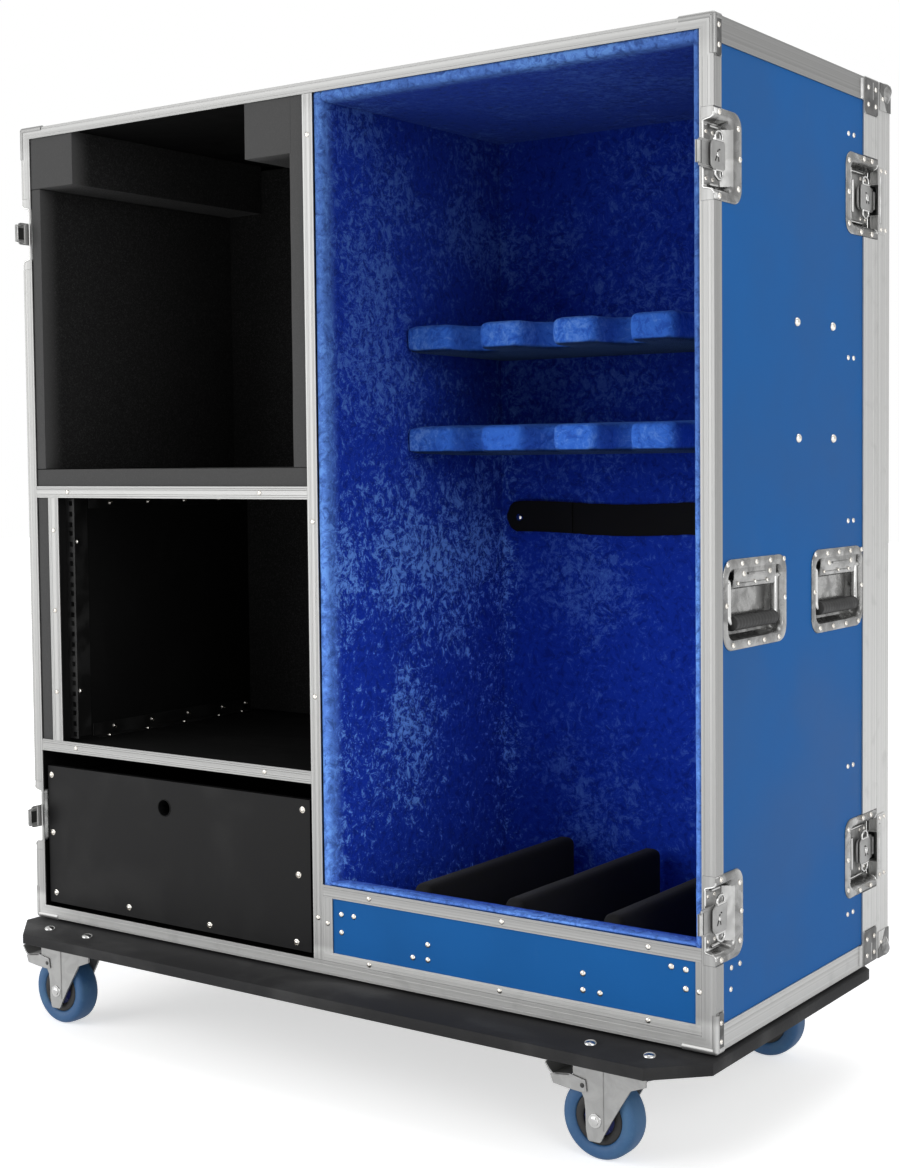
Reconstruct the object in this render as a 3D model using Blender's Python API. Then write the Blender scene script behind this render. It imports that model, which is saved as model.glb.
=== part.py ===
"""Guitar flight case: a touring case for four guitars with an amplifier bay, a rack bay and a drawer.

The case stands on a castor board. Its front is open and its rear cover lifts off to the back.

World axes: X to the viewer's right, Y to the back, Z up, metres. The origin is on the floor, under the
middle of the whole object. Most pieces are drawn in case coordinates: x from the middle of the case, y from
the front face of the case to the back, z from the underside of its extrusions. Wall pieces use three more
distances: d is the depth below the outer face of a side, u runs along a side away from the opening that a
latch serves, and v is the height from a latch's or handle's own middle.
"""

import math

import bmesh
import bpy
from mathutils import Vector

# Overall sizes
CASE_WIDTH = 1.140
CASE_HEIGHT = 1.170
BODY_DEPTH = 0.467
COVER_DEPTH = 0.040

# Sheet and clearance
GAP = 0.0003
SKIN = 0.0015
PLY = 0.0095
INNER_PLY = 0.012
CUT_PAST = 0.010

# Extrusions
FRAME_SIDE_FACE = 0.018
FRAME_TOP_FACE = 0.015
FRAME_BOTTOM_FACE = 0.0175
FRAME_LEG = 0.019
EDGE_ANGLE = 0.030
BAND_LEG = 0.047
BAND_FACE = 0.018
TONGUE_INSET = 0.004
TONGUE_THICK = 0.003
TONGUE_HEIGHT = 0.005
GROOVE_DEPTH = 0.006
COVER_BACK_LEG = 0.030
BRACE_PROUD = 0.001
BRACE_REACH = 0.046

# Ball corners of the cover
BALL_RADIUS = 0.016
BALL_PROUD = 0.0049
BALL_PLATE = 0.036

# Layout of the bays
RACK_CLEAR_WIDTH = 0.4853
RACK_SIDE_ROOM = 0.037
PARTITION_REAR_ROOM = 0.054
RACK_SHELF_TOP = 0.2662
TRIM_WIDTH = 0.017
CAP_WIDTH = 0.021

# Guitar bay
LINING = 0.0165
LINING_REAR_ROOM = 0.058
WELL_LIP = 0.005
FASCIA_TOP = 0.119
FASCIA_INSET = 0.0054
FASCIA_BORDER_LEFT = 0.016
FASCIA_BORDER_RIGHT = 0.008
FASCIA_BORDER_TOP = 0.0167
FASCIA_BORDER_BOTTOM = 0.0125

# Foam
AMP_FOAM_SIDE = 0.0254
AMP_FOAM_RIGHT = 0.0273
AMP_FOAM_FLOOR = 0.0272
CEILING_BLOCK_HEIGHT = 0.0774
CEILING_BLOCK_LEFT = 0.0697
CEILING_BLOCK_RIGHT = 0.0777
PAD_CLEAR = 0.001

# Dividers in the guitar well
DIVIDER_COUNT = 3
DIVIDER_THICK = 0.030
DIVIDER_TOP = 0.132
DIVIDER_END_ROOM = 0.023
DIVIDER_CORNER = 0.010

# Neck rests
REST_UPPER_Z = 0.8445
REST_LOWER_Z = 0.7060
REST_THICK = 0.037
REST_FRONT_Y = 0.1755
REST_NOTCHES = 4
NOTCH_WIDTH = 0.048
NOTCH_DEPTH = 0.066
TOOTH_CORNER = 0.022
TOOTH_ROUND = 0.45
REST_EDGE = 0.005

# Neck strap on the back wall
STRAP_Z = 0.5925
STRAP_WIDTH = 0.045
STRAP_THICK = 0.003
STRAP_START = 0.0152
STRAP_LENGTH = 0.500
STRAP_ROUND = 0.42

# Rack rails
RACK_UNITS = 8
RACK_UNIT = 0.04445
RAIL_FLANGE = 0.0175
RAIL_SIDE = 0.040
RAIL_THICK = 0.002
RAIL_END_ROOM = 0.0046
RAIL_FRONT_Y = 0.0175
RAIL_HOLE = 0.0072
RAIL_HOLE_PLACE = 0.58
RAIL_HOLE_PITCHES = (0.00635, 0.022225, 0.0381)

# Drawer
DRAWER_FRONT_ROOM = 0.01115
DRAWER_FRONT_BOTTOM = 0.0225
DRAWER_FRONT_TOP = 0.228
DRAWER_FRONT_Y = 0.006
DRAWER_BOX_BOTTOM = 0.028
DRAWER_BOX_TOP = 0.212
DRAWER_REAR_ROOM = 0.0672
FINGER_HOLE = 0.0115
FINGER_HOLE_OFFSET = -0.01445
FINGER_HOLE_Z = 0.189
RUNNER_WIDTH = 0.0127
RUNNER_HEIGHT = 0.045
RUNNER_WALL = 0.0015
RUNNER_Z = 0.075
RUNNER_START_Y = 0.022
RUNNER_REAR_ROOM = 0.095

# Butterfly latches
LATCH_TOP_DROP = 0.1534
LATCH_BOTTOM_RISE = 0.152
DISH_DEPTH = 0.015
DISH_WALL = 0.0012
FRONT_DISH_PLATE = (0.070, 0.0515)
REAR_DISH_PLATE = (0.102, 0.0525)
FRONT_DISH_RECESS = 0.047
REAR_DISH_RECESS = 0.082
DISH_RECESS_HALF = 0.038
DISH_CORNER = 0.018
FRONT_SPINDLE = 0.017
REAR_SPINDLE = 0.025
SPINDLE_RADIUS = 0.0035
HOOK_TOP = 0.0085
HOOK_THICK = 0.0025
HOOK_HALF = 0.016
HOOK_REACH = 0.010
HOOK_THROW = 0.012
HOOK_LIP = 0.0035
HOOK_TAIL = 0.004
WING_TOP = 0.0039
WING_THICK = 0.0016
WING_LENGTH = 0.044
WING_WIDTH = 0.024
WING_WAIST = 0.012
WING_LOBE = 0.45
STRIKE_HALF = 0.020
STRIKE_MOUTH = 0.012
STRIKE_DEPTH = 0.0135
RIDGE_HEIGHT = 0.0012

# Drop handles
HANDLE_Z = 0.5095
HANDLE_FRONT_INSET = 0.1048
HANDLE_REAR_INSET = 0.123
HANDLE_PLATE = (0.166, 0.105)
HANDLE_RECESS = (0.140, 0.078)
HANDLE_CORNER = 0.020
GRIP_CLEAR = 0.0008
PIVOT_DEPTH = 0.0062
PIVOT_RISE = 0.0275
GRIP_ROOM = 0.008
BAIL_SIDE_ROOM = 0.009
BAIL_RADIUS = 0.004
BAIL_BEND = 0.009
BAIL_EYE_BEND = 0.0045
GRIP_RADIUS = 0.009
GRIP_INSET = 0.005
GRIP_END_RADIUS = 0.00675
GRIP_END_LENGTH = 0.0027
PIN_LENGTH = 0.0045

# Castor board
BOARD_FRONT = 0.075
BOARD_SIDE = 0.005
BOARD_REAR = 0.018
BOARD_THICK = 0.015
BOARD_CHAMFER = 0.058
PACKING_THICK = 0.0042
PACKING_INSET = 0.020

# Castors
CASTOR_END_INSET = 0.111
CASTOR_FRONT_INSET = 0.072
CASTOR_REAR_INSET = 0.050
CASTOR_PLATE = (0.100, 0.085, 0.003)
CASTOR_PLATE_CORNER = 0.006
CASTOR_TRAIL = 0.040
RACE_RADIUS = 0.032
RACE_HEIGHT = 0.009
RACE_EDGE = 0.001
KING_PIN_RADIUS = 0.006
HEAD_RADIUS = 0.022
HEAD_HEIGHT = 0.0105
CROWN_CLEAR = 0.0075
CROWN_THICK = 0.0035
HUB_CLEAR = 0.00075
LEG_THICK = 0.003
WHEEL_RADIUS = 0.050
TYRE_WIDTH = 0.034
TYRE_CORNER = 0.009
TYRE_CROWN_RADIUS = 0.044
TYRE_BEAD_RADIUS = 0.035
RIM_RADIUS = 0.033
RIM_EDGE = 0.001
HUB_WIDTH = 0.0385
HUB_SINK = 0.006
BOSS_RADIUS = 0.012
BOSS_ROOT_RADIUS = 0.014
AXLE_RADIUS = 0.006
AXLE_HEAD = 0.009
AXLE_HEAD_THICK = 0.003
PEDAL_PIN_RADIUS = 0.003
PEDAL_THICK = 0.0018

# Pressed outlines of a castor in (trail, depth below the crown's top), or in (trail, height over the axle)
CROWN_ENDS = (-0.027, 0.070)
FORK_FRONT_CROWN = [(-0.027, 0.004), (-0.007, 0.012)]
FORK_FRONT_AXLE = [(0.017, 0.0065)]
FORK_REAR_AXLE = [(0.055, 0.0225)]
FORK_REAR_CROWN = [(0.062, 0.0215), (0.070, 0.0075)]
FORK_FOOT_OFFSET = (0.003, -0.017)
FORK_FOOT_RADIUS = 0.0105
PEDAL_PIVOT = (0.056, 0.0175)
PEDAL_CHEEK = [
    (0.050, 0.0245),
    (0.058, 0.026),
    (0.097, 0.023),
    (0.101, 0.0115),
    (0.074, 0.0065),
    (0.052, 0.0105),
]
PEDAL_FOOT = [
    (0.0735, 0.0087),
    (0.098, 0.0133),
    (0.1085, -0.0005),
    (0.1072, -0.003),
    (0.0965, 0.0103),
    (0.0735, 0.0061),
]

# Values that follow from the sizes above
HALF_WIDTH = CASE_WIDTH / 2
PANEL_OUT = SKIN + GAP
PANEL_IN = PANEL_OUT + PLY
INSIDE = HALF_WIDTH - PANEL_IN
PANEL_FRONT_Y = SKIN + GAP
PANEL_REAR_Y = BODY_DEPTH - SKIN - GAP
CASE_BACK = BODY_DEPTH + COVER_DEPTH
FLOOR_TOP = PANEL_IN
CEILING = CASE_HEIGHT - PANEL_IN
LEFT_BAY_WIDTH = RACK_CLEAR_WIDTH + INNER_PLY + RACK_SIDE_ROOM
WALL_LEFT = -INSIDE + LEFT_BAY_WIDTH
WALL_RIGHT = WALL_LEFT + INNER_PLY
RAIL_HEIGHT = RACK_UNITS * RACK_UNIT
AMP_SHELF_BOTTOM = RACK_SHELF_TOP + RAIL_HEIGHT + 2 * RAIL_END_ROOM
AMP_SHELF_TOP = AMP_SHELF_BOTTOM + INNER_PLY
LINING_FACE_Y = BODY_DEPTH - LINING_REAR_ROOM
FOAM_END_Y = LINING_FACE_Y - GAP
PARTITION_END_Y = BODY_DEPTH - PARTITION_REAR_ROOM
WELL_HEIGHT = FASCIA_TOP + WELL_LIP
PARTITION_RIGHT = WALL_LEFT - RACK_CLEAR_WIDTH
PARTITION_LEFT = PARTITION_RIGHT - INNER_PLY
BAY_LEFT = WALL_RIGHT + GAP + LINING
BAY_RIGHT = INSIDE - GAP - LINING
BAY_FLOOR = FLOOR_TOP + GAP + LINING
BAY_CEILING = CEILING - GAP - LINING
LINING_BACK_Y = LINING_FACE_Y + LINING
MULLION_LEFT = WALL_LEFT - (TRIM_WIDTH - INNER_PLY) / 2
MULLION_RIGHT = MULLION_LEFT + TRIM_WIDTH
DRAWER_FRONT_WIDTH = LEFT_BAY_WIDTH - 2 * DRAWER_FRONT_ROOM
FINGER_HOLE_X = (WALL_LEFT - INSIDE) / 2 + FINGER_HOLE_OFFSET
RUNNER_LENGTH = BODY_DEPTH - RUNNER_START_Y - RUNNER_REAR_ROOM
RUNNER_PACK_LEFT = FRAME_SIDE_FACE - PANEL_IN + GAP
RUNNER_PACK_RIGHT = WALL_LEFT - MULLION_LEFT + GAP
DRAWER_LEFT = -INSIDE + RUNNER_PACK_LEFT + RUNNER_WIDTH
DRAWER_RIGHT = WALL_LEFT - RUNNER_PACK_RIGHT - RUNNER_WIDTH
HANDLE_DEPTH = PIVOT_DEPTH + GRIP_RADIUS + GRIP_CLEAR
BAIL_HALF = HANDLE_RECESS[0] / 2 - BAIL_SIDE_ROOM
BAIL_DROP = PIVOT_RISE + HANDLE_RECESS[1] / 2 - GRIP_RADIUS - GRIP_ROOM
GRIP_LENGTH = 2 * (BAIL_HALF - GRIP_INSET)
CROWN_TOP = 2 * WHEEL_RADIUS + CROWN_CLEAR
CASTOR_HEIGHT = CROWN_TOP + HEAD_HEIGHT + RACE_HEIGHT + CASTOR_PLATE[2]
LEG_INSIDE = max(HUB_WIDTH, TYRE_WIDTH) / 2 + HUB_CLEAR
CASE_BOTTOM_Z = CASTOR_HEIGHT + BOARD_THICK + PACKING_THICK + GAP
CASE_FRONT_Y = (BOARD_FRONT - CASE_BACK - BALL_PROUD) / 2
LATCH_HEIGHTS = {"top": CASE_HEIGHT - LATCH_TOP_DROP, "bottom": LATCH_BOTTOM_RISE}
HANDLE_PLACES = {"front": HANDLE_FRONT_INSET, "rear": BODY_DEPTH - HANDLE_REAR_INSET}
SIDES = {"left": -1, "right": 1}

MATERIALS = {
    "laminate": ((0.015, 0.125, 0.375, 1.0), 0.45, 0.0),
    "aluminium": ((0.58, 0.58, 0.57, 1.0), 0.35, 1.0),
    "black board": ((0.012, 0.012, 0.012, 1.0), 0.6, 0.0),
    "plush": ((0.02, 0.10, 0.55, 1.0), 0.9, 0.0),
    "grey foam": ((0.03, 0.03, 0.03, 1.0), 0.95, 0.0),
    "webbing": ((0.01, 0.01, 0.01, 1.0), 0.8, 0.0),
    "steel": ((0.45, 0.45, 0.46, 1.0), 0.3, 1.0),
    "zinc": ((0.5, 0.5, 0.5, 1.0), 0.4, 1.0),
    "tyre": ((0.045, 0.14, 0.30, 1.0), 0.55, 0.0),
}


def clear_scene():
    """Remove whatever the file held before."""
    for obj in list(bpy.data.objects):
        bpy.data.objects.remove(obj)


def material(name):
    """Return the named finish, made the first time that it is asked for."""
    if name in bpy.data.materials:
        return bpy.data.materials[name]
    colour, roughness, metallic = MATERIALS[name]
    finish = bpy.data.materials.new(name)
    finish.use_nodes = True
    shader = finish.node_tree.nodes["Principled BSDF"]
    shader.inputs["Base Color"].default_value = colour
    shader.inputs["Roughness"].default_value = roughness
    shader.inputs["Metallic"].default_value = metallic
    return finish


def empty(name, location, parent=None):
    """Return an empty that carries pieces."""
    holder = bpy.data.objects.new(name, None)
    holder.location = location
    holder.parent = parent
    bpy.context.scene.collection.objects.link(holder)
    return holder


def piece(name, mesh_builder, finish, parent, location=(0, 0, 0), smooth=None):
    """Return a new object from a filled bmesh, with its faces turned outward."""
    bmesh.ops.recalc_face_normals(mesh_builder, faces=mesh_builder.faces)
    mesh = bpy.data.meshes.new(name)
    mesh_builder.to_mesh(mesh)
    mesh_builder.free()
    if finish:
        mesh.materials.append(material(finish))
    if smooth is not None:
        mesh.shade_smooth()
        mesh.set_sharp_from_angle(angle=math.radians(smooth))
    obj = bpy.data.objects.new(name, mesh)
    obj.location = location
    obj.parent = parent
    bpy.context.scene.collection.objects.link(obj)
    return obj


def combine(target, operation, guides):
    """Join the guides to the target, or cut them from it; they stay as wire outlines that aren't rendered."""
    group = bpy.data.collections.new(f"{target.name} {operation.lower()}")
    bpy.context.scene.collection.children.link(group)
    for guide in guides:
        bpy.context.scene.collection.objects.unlink(guide)
        group.objects.link(guide)
        guide.hide_render = True
        guide.display_type = "WIRE"
    modifier = target.modifiers.new(operation.title(), "BOOLEAN")
    modifier.operation = operation
    modifier.operand_type = "COLLECTION"
    modifier.collection = group
    modifier.solver = "EXACT"


# Outlines and the simple bodies made from them


def arc(centre, radius, start, end, steps):
    """Return the points of an arc, angles in degrees, both ends included."""
    angles = [math.radians(start + (end - start) * i / steps) for i in range(steps + 1)]
    return [(centre[0] + radius * math.cos(a), centre[1] + radius * math.sin(a)) for a in angles]


def rounded_rectangle(low, high, radii, steps=4):
    """Return a rectangle's outline, with a radius for each corner from low-low round to low-high."""
    corners = (
        (low[0], low[1], 1, 1, 180),
        (high[0], low[1], -1, 1, 270),
        (high[0], high[1], -1, -1, 0),
        (low[0], high[1], 1, -1, 90),
    )
    outline = []
    for (a, b, to_a, to_b, start), radius in zip(corners, radii):
        if radius:
            centre = (a + to_a * radius, b + to_b * radius)
            outline += arc(centre, radius, start, start + 90, steps)
        else:
            outline.append((a, b))
    return outline


def add_prism(bm, outline, low, high, place):
    """Add the outline's (a, b) points swept from low to high, each set in space by place(a, b, height)."""
    near = [bm.verts.new(place(a, b, low)) for a, b in outline]
    far = [bm.verts.new(place(a, b, high)) for a, b in outline]
    bm.faces.new(near[::-1])
    bm.faces.new(far)
    for i in range(len(outline)):
        j = (i + 1) % len(outline)
        bm.faces.new((near[i], near[j], far[j], far[i]))


def along_x(a, b, height):
    """Place an outline drawn in (y, z)."""
    return (height, a, b)


def along_y(a, b, height):
    """Place an outline drawn in (x, z)."""
    return (a, height, b)


def along_z(a, b, height):
    """Place an outline drawn in (x, y)."""
    return (a, b, height)


def add_block(bm, low, high):
    """Add a box between two corners."""
    outline = [(low[0], low[1]), (high[0], low[1]), (high[0], high[1]), (low[0], high[1])]
    add_prism(bm, outline, low[2], high[2], along_z)


def block_piece(name, low, high, finish, parent):
    """Return one box as an object."""
    bm = bmesh.new()
    add_block(bm, low, high)
    return piece(name, bm, finish, parent)


def add_turned(bm, profile, place, segments, closed=False):
    """Add a body turned from (radius, along) points; place(p, q, along) sets it in space.

    An open profile starts and ends on the axis or gets a flat cap there. A closed one is a ring with a bore.
    """
    rings = []
    for radius, along in profile:
        ring = []
        for i in range(segments):
            angle = 2 * math.pi * i / segments
            ring.append(bm.verts.new(place(radius * math.cos(angle), radius * math.sin(angle), along)))
        rings.append(ring)
    pairs = list(zip(rings, rings[1:]))
    if closed:
        pairs.append((rings[-1], rings[0]))
    for ring, following in pairs:
        for i in range(segments):
            j = (i + 1) % segments
            bm.faces.new((ring[i], ring[j], following[j], following[i]))
    if not closed:
        bm.faces.new(rings[0][::-1])
        bm.faces.new(rings[-1])


def add_mitred_ring(bm, profile, low_z, high_z):
    """Add a closed frame round the case from (inset, y) points; insets may differ by side, top and bottom."""
    loops = []
    for inset, y in profile:
        side, top, bottom = inset if isinstance(inset, tuple) else (inset, inset, inset)
        x = HALF_WIDTH - side
        corners = ((-x, low_z + bottom), (x, low_z + bottom), (x, high_z - top), (-x, high_z - top))
        loops.append([bm.verts.new((a, y, b)) for a, b in corners])
    for loop, following in zip(loops, loops[1:] + loops[:1]):
        for i in range(4):
            j = (i + 1) % 4
            bm.faces.new((loop[i], loop[j], following[j], following[i]))


# Distances on a side wall


def on_wall(side, start_y, direction, centre_z):
    """Return place(u, v, d) for a fitting on a side wall, u measured from start_y along direction."""

    def place(u, v, d):
        return (side * (HALF_WIDTH - d), start_y + direction * u, centre_z + v)

    return place


def latch_sites():
    """Yield each latch's name, side, opening, height and placing function."""
    for opening, start_y, direction in (("front", 0.0, 1), ("rear", BODY_DEPTH, -1)):
        for side_name, side in SIDES.items():
            for level, z in LATCH_HEIGHTS.items():
                yield f"{opening}_{side_name}_{level}", side, opening, z, on_wall(side, start_y, direction, z)


def dish_sizes(opening):
    """Return a latch dish's plate length, plate half height and recess length."""
    if opening == "front":
        return (*FRONT_DISH_PLATE, FRONT_DISH_RECESS)
    return (*REAR_DISH_PLATE, REAR_DISH_RECESS)


def spindle_distance(opening):
    """Return how far a latch's spindle stands from the opening that it serves."""
    return FRONT_SPINDLE if opening == "front" else REAR_SPINDLE


def handle_sites():
    """Yield each handle's name, side, the y of its middle and its placing function."""
    for side_name, side in SIDES.items():
        for end, y in HANDLE_PLACES.items():
            yield f"{side_name}_{end}", side, y, on_wall(side, y, 1, HANDLE_Z)


def dish_clearance(place, u_range, half_v, depth):
    """Return a box mesh that clears a dish with its wall, down to a depth."""
    low_u, high_u = u_range
    outline = [(low_u, -half_v), (high_u, -half_v), (high_u, half_v), (low_u, half_v)]
    bm = bmesh.new()
    add_prism(bm, outline, SKIN, depth, place)
    return bm


def dish_pockets(side, parent, name):
    """Return the guides that clear every dish of one side out of what lines that wall."""
    guides = []
    for label, site_side, opening, _z, place in latch_sites():
        if site_side != side:
            continue
        half = DISH_RECESS_HALF + DISH_WALL + GAP
        end = dish_sizes(opening)[2] + DISH_WALL + GAP
        bm = dish_clearance(place, (-CUT_PAST, end), half, DISH_DEPTH + DISH_WALL + GAP)
        guides.append(piece(f"{name} {label}", bm, None, parent))
    for label, site_side, _y, place in handle_sites():
        if site_side != side:
            continue
        half_u = HANDLE_RECESS[0] / 2 + DISH_WALL + GAP
        half_v = HANDLE_RECESS[1] / 2 + DISH_WALL + GAP
        bm = dish_clearance(place, (-half_u, half_u), half_v, HANDLE_DEPTH + DISH_WALL + GAP)
        guides.append(piece(f"{name} {label}", bm, None, parent))
    return guides


# Shell panels


def latch_dish_parts(label, opening, place, parent):
    """Return the guides joined to a side panel for one latch dish: its plate, its bulge and its lip."""
    length, half, recess = dish_sizes(opening)
    bottom = DISH_DEPTH + DISH_WALL
    plate = bmesh.new()
    outline = rounded_rectangle((0, -half), (length, half), (0, DISH_CORNER, DISH_CORNER, 0))
    add_prism(plate, outline, 0, PANEL_OUT + SKIN, place)
    bulge = bmesh.new()
    end, inner_half = recess + DISH_WALL, DISH_RECESS_HALF + DISH_WALL
    outline = [(0, -inner_half), (end, -inner_half), (end, inner_half), (0, inner_half)]
    add_prism(bulge, outline, SKIN / 2, bottom, place)
    lip = bmesh.new()
    root_u, root_d = PANEL_OUT + SKIN, PANEL_IN - SKIN
    section = [(0, SKIN / 2), (root_u, SKIN / 2), (root_u, root_d)]
    section += [(SKIN, root_d), (SKIN, bottom), (0, bottom)]
    add_prism(lip, section, -half, half, lambda u, d, v: place(u, v, d))
    return [
        piece(f"dish plate {label}", plate, None, parent),
        piece(f"dish bulge {label}", bulge, None, parent),
        piece(f"dish lip {label}", lip, None, parent),
    ]


def latch_recess(label, opening, place, parent):
    """Return the guide that hollows a latch dish."""
    half, corner = DISH_RECESS_HALF, DISH_CORNER / 2
    end = dish_sizes(opening)[2]
    outline = rounded_rectangle((-CUT_PAST, -half), (end, half), (0, corner, corner, 0), 3)
    bm = bmesh.new()
    add_prism(bm, outline, -CUT_PAST, DISH_DEPTH, place)
    return piece(f"dish recess {label}", bm, None, parent)


def handle_dish_parts(label, place, parent):
    """Return the guides joined to a side panel for one handle dish."""
    half_u, half_v = HANDLE_PLATE[0] / 2, HANDLE_PLATE[1] / 2
    rear_limit = half_u
    if label.endswith("rear"):
        rear_limit = min(half_u, BODY_DEPTH - BAND_LEG - GAP - HANDLE_PLACES["rear"])
    plate = bmesh.new()
    near, far = HANDLE_CORNER, HANDLE_CORNER if rear_limit == half_u else HANDLE_CORNER / 2
    outline = rounded_rectangle((-half_u, -half_v), (rear_limit, half_v), (near, far, far, near))
    add_prism(plate, outline, 0, PANEL_OUT + SKIN, place)
    bulge = bmesh.new()
    in_u, in_v = HANDLE_RECESS[0] / 2 + DISH_WALL, HANDLE_RECESS[1] / 2 + DISH_WALL
    outline = [(-in_u, -in_v), (in_u, -in_v), (in_u, in_v), (-in_u, in_v)]
    add_prism(bulge, outline, SKIN / 2, HANDLE_DEPTH + DISH_WALL, place)
    return [
        piece(f"handle plate {label}", plate, None, parent),
        piece(f"handle bulge {label}", bulge, None, parent),
    ]


def handle_recess(label, place, parent):
    """Return the guides that hollow a handle dish and drill its pivot holes."""
    half_u, half_v = HANDLE_RECESS[0] / 2, HANDLE_RECESS[1] / 2
    corner = HANDLE_CORNER / 2
    bm = bmesh.new()
    outline = rounded_rectangle((-half_u, -half_v), (half_u, half_v), (corner,) * 4, 3)
    add_prism(bm, outline, -CUT_PAST, HANDLE_DEPTH, place)
    hole = bmesh.new()
    reach = half_u + PIN_LENGTH + GAP

    def across(p, q, along):
        return place(along, PIVOT_RISE + p, PIVOT_DEPTH + q)

    radius = BAIL_RADIUS + 2 * GAP
    add_turned(hole, [(radius, -reach), (radius, reach)], across, 12)
    return [
        piece(f"handle recess {label}", bm, None, parent),
        piece(f"pivot hole {label}", hole, None, parent),
    ]


def runner_outline(facing, packing):
    """Return a fixed runner's C section in (x, z), on packing that brings it clear of the front trim."""
    half, wall = RUNNER_HEIGHT / 2, RUNNER_WALL
    back, mouth = packing + wall, packing + RUNNER_WIDTH - GAP
    points = [(-wall, -half), (mouth, -half), (mouth, -half + wall), (back, -half + wall)]
    points += [(back, half - wall), (mouth, half - wall), (mouth, half), (-wall, half)]
    return [(facing * x, z + RUNNER_Z) for x, z in points]


def fixed_runner(label, wall_x, facing, packing, parent):
    """Return the guide of a drawer runner that is joined to the wall carrying it."""
    bm = bmesh.new()
    outline = [(wall_x + x, z) for x, z in runner_outline(facing, packing)]
    add_prism(bm, outline, RUNNER_START_Y, RUNNER_START_Y + RUNNER_LENGTH, along_y)
    return piece(f"runner {label}", bm, None, parent)


def side_panel(name, side, parent):
    """Build one side: laminated plywood with its latch dishes, handle dishes and, on the left, a runner."""
    outer, inner = side * (HALF_WIDTH - PANEL_OUT), side * INSIDE
    low = (min(outer, inner), PANEL_FRONT_Y, PANEL_OUT)
    high = (max(outer, inner), PANEL_REAR_Y, CASE_HEIGHT - PANEL_OUT)
    panel = block_piece(name, low, high, "laminate", parent)
    joined, cut = [], []
    for label, site_side, opening, _z, place in latch_sites():
        if site_side == side:
            joined += latch_dish_parts(label, opening, place, parent)
            cut.append(latch_recess(label, opening, place, parent))
    for label, site_side, _y, place in handle_sites():
        if site_side == side:
            joined += handle_dish_parts(label, place, parent)
            cut += handle_recess(label, place, parent)
    if side < 0:
        joined.append(fixed_runner("left", -INSIDE, 1, RUNNER_PACK_LEFT, parent))
    combine(panel, "UNION", joined)
    combine(panel, "DIFFERENCE", cut)


def build_panels(case):
    """Build the boards of the shell and of the bays."""
    for side_name, side in SIDES.items():
        side_panel(f"{side_name}_panel", side, case)
    between = INSIDE - GAP
    front, rear = PANEL_FRONT_Y, PANEL_REAR_Y
    level_panels = (("bottom_panel", PANEL_OUT, FLOOR_TOP), ("top_panel", CEILING, CASE_HEIGHT - PANEL_OUT))
    for name, low, high in level_panels:
        block_piece(name, (-between, front, low), (between, rear, high), "laminate", case)

    floor, ceiling = FLOOR_TOP + GAP, CEILING - GAP
    wall_high = (WALL_RIGHT, rear, ceiling)
    wall = block_piece("centre_wall", (WALL_LEFT, front, floor), wall_high, "black board", case)
    combine(wall, "UNION", [fixed_runner("right", WALL_LEFT, -1, RUNNER_PACK_RIGHT, case)])

    left, right = -between, WALL_LEFT - GAP
    for name, top in (("amp_shelf", AMP_SHELF_TOP), ("rack_shelf", RACK_SHELF_TOP)):
        block_piece(name, (left, front, top - INNER_PLY), (right, rear, top), "black board", case)
    partition_low = (PARTITION_LEFT, front, RACK_SHELF_TOP + GAP)
    partition_high = (PARTITION_RIGHT, PARTITION_END_Y, AMP_SHELF_BOTTOM - GAP)
    block_piece("rack_partition", partition_low, partition_high, "black board", case)

    bay_left, back_y = WALL_RIGHT + GAP, LINING_BACK_Y + GAP
    back_high = (between, back_y + PLY, ceiling)
    back = block_piece("guitar_back", (bay_left, back_y, floor), back_high, "laminate", case)
    combine(back, "DIFFERENCE", dish_pockets(1, case, "back pocket"))
    fascia_high = (between - FASCIA_INSET, front + PLY, FASCIA_TOP)
    block_piece("fascia_panel", (bay_left, front, floor), fascia_high, "laminate", case)


# Extrusions


def dish_cutouts(case, opening, name):
    """Return the guides that clear the extrusions round the latch dishes of one opening."""
    guides = []
    for label, _side, site_opening, _z, place in latch_sites():
        if site_opening != opening:
            continue
        length, half = dish_sizes(opening)[:2]
        low, high = (-CUT_PAST, -half - GAP), (length + GAP, half + GAP)
        outline = rounded_rectangle(low, high, (0, DISH_CORNER, DISH_CORNER, 0))
        bm = bmesh.new()
        add_prism(bm, outline, -CUT_PAST, DISH_DEPTH + DISH_WALL + GAP, place)
        guides.append(piece(f"{name} {label}", bm, None, case))
    return guides


def corner_braces(case, low_y, high_y, name):
    """Return the pressed braces on the corners of a frame, flat under the case and proud elsewhere."""
    outer, proud = HALF_WIDTH, BRACE_PROUD
    bm = bmesh.new()
    for side in (-1, 1):
        corner_x, end_x, inside_x = (side * x for x in (outer + proud, outer - BRACE_REACH, outer - SKIN / 2))
        top, under, end_z = CASE_HEIGHT + proud, CASE_HEIGHT - SKIN / 2, CASE_HEIGHT - BRACE_REACH
        outline = [(corner_x, top), (corner_x, end_z), (inside_x, end_z)]
        outline += [(inside_x, under), (end_x, under), (end_x, top)]
        add_prism(bm, outline, low_y, high_y, along_y)
        foot = [(corner_x, 0.0), (corner_x, BRACE_REACH), (inside_x, BRACE_REACH), (inside_x, 0.0)]
        add_prism(bm, foot, low_y, high_y, along_y)
    return piece(name, bm, None, case)


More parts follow.
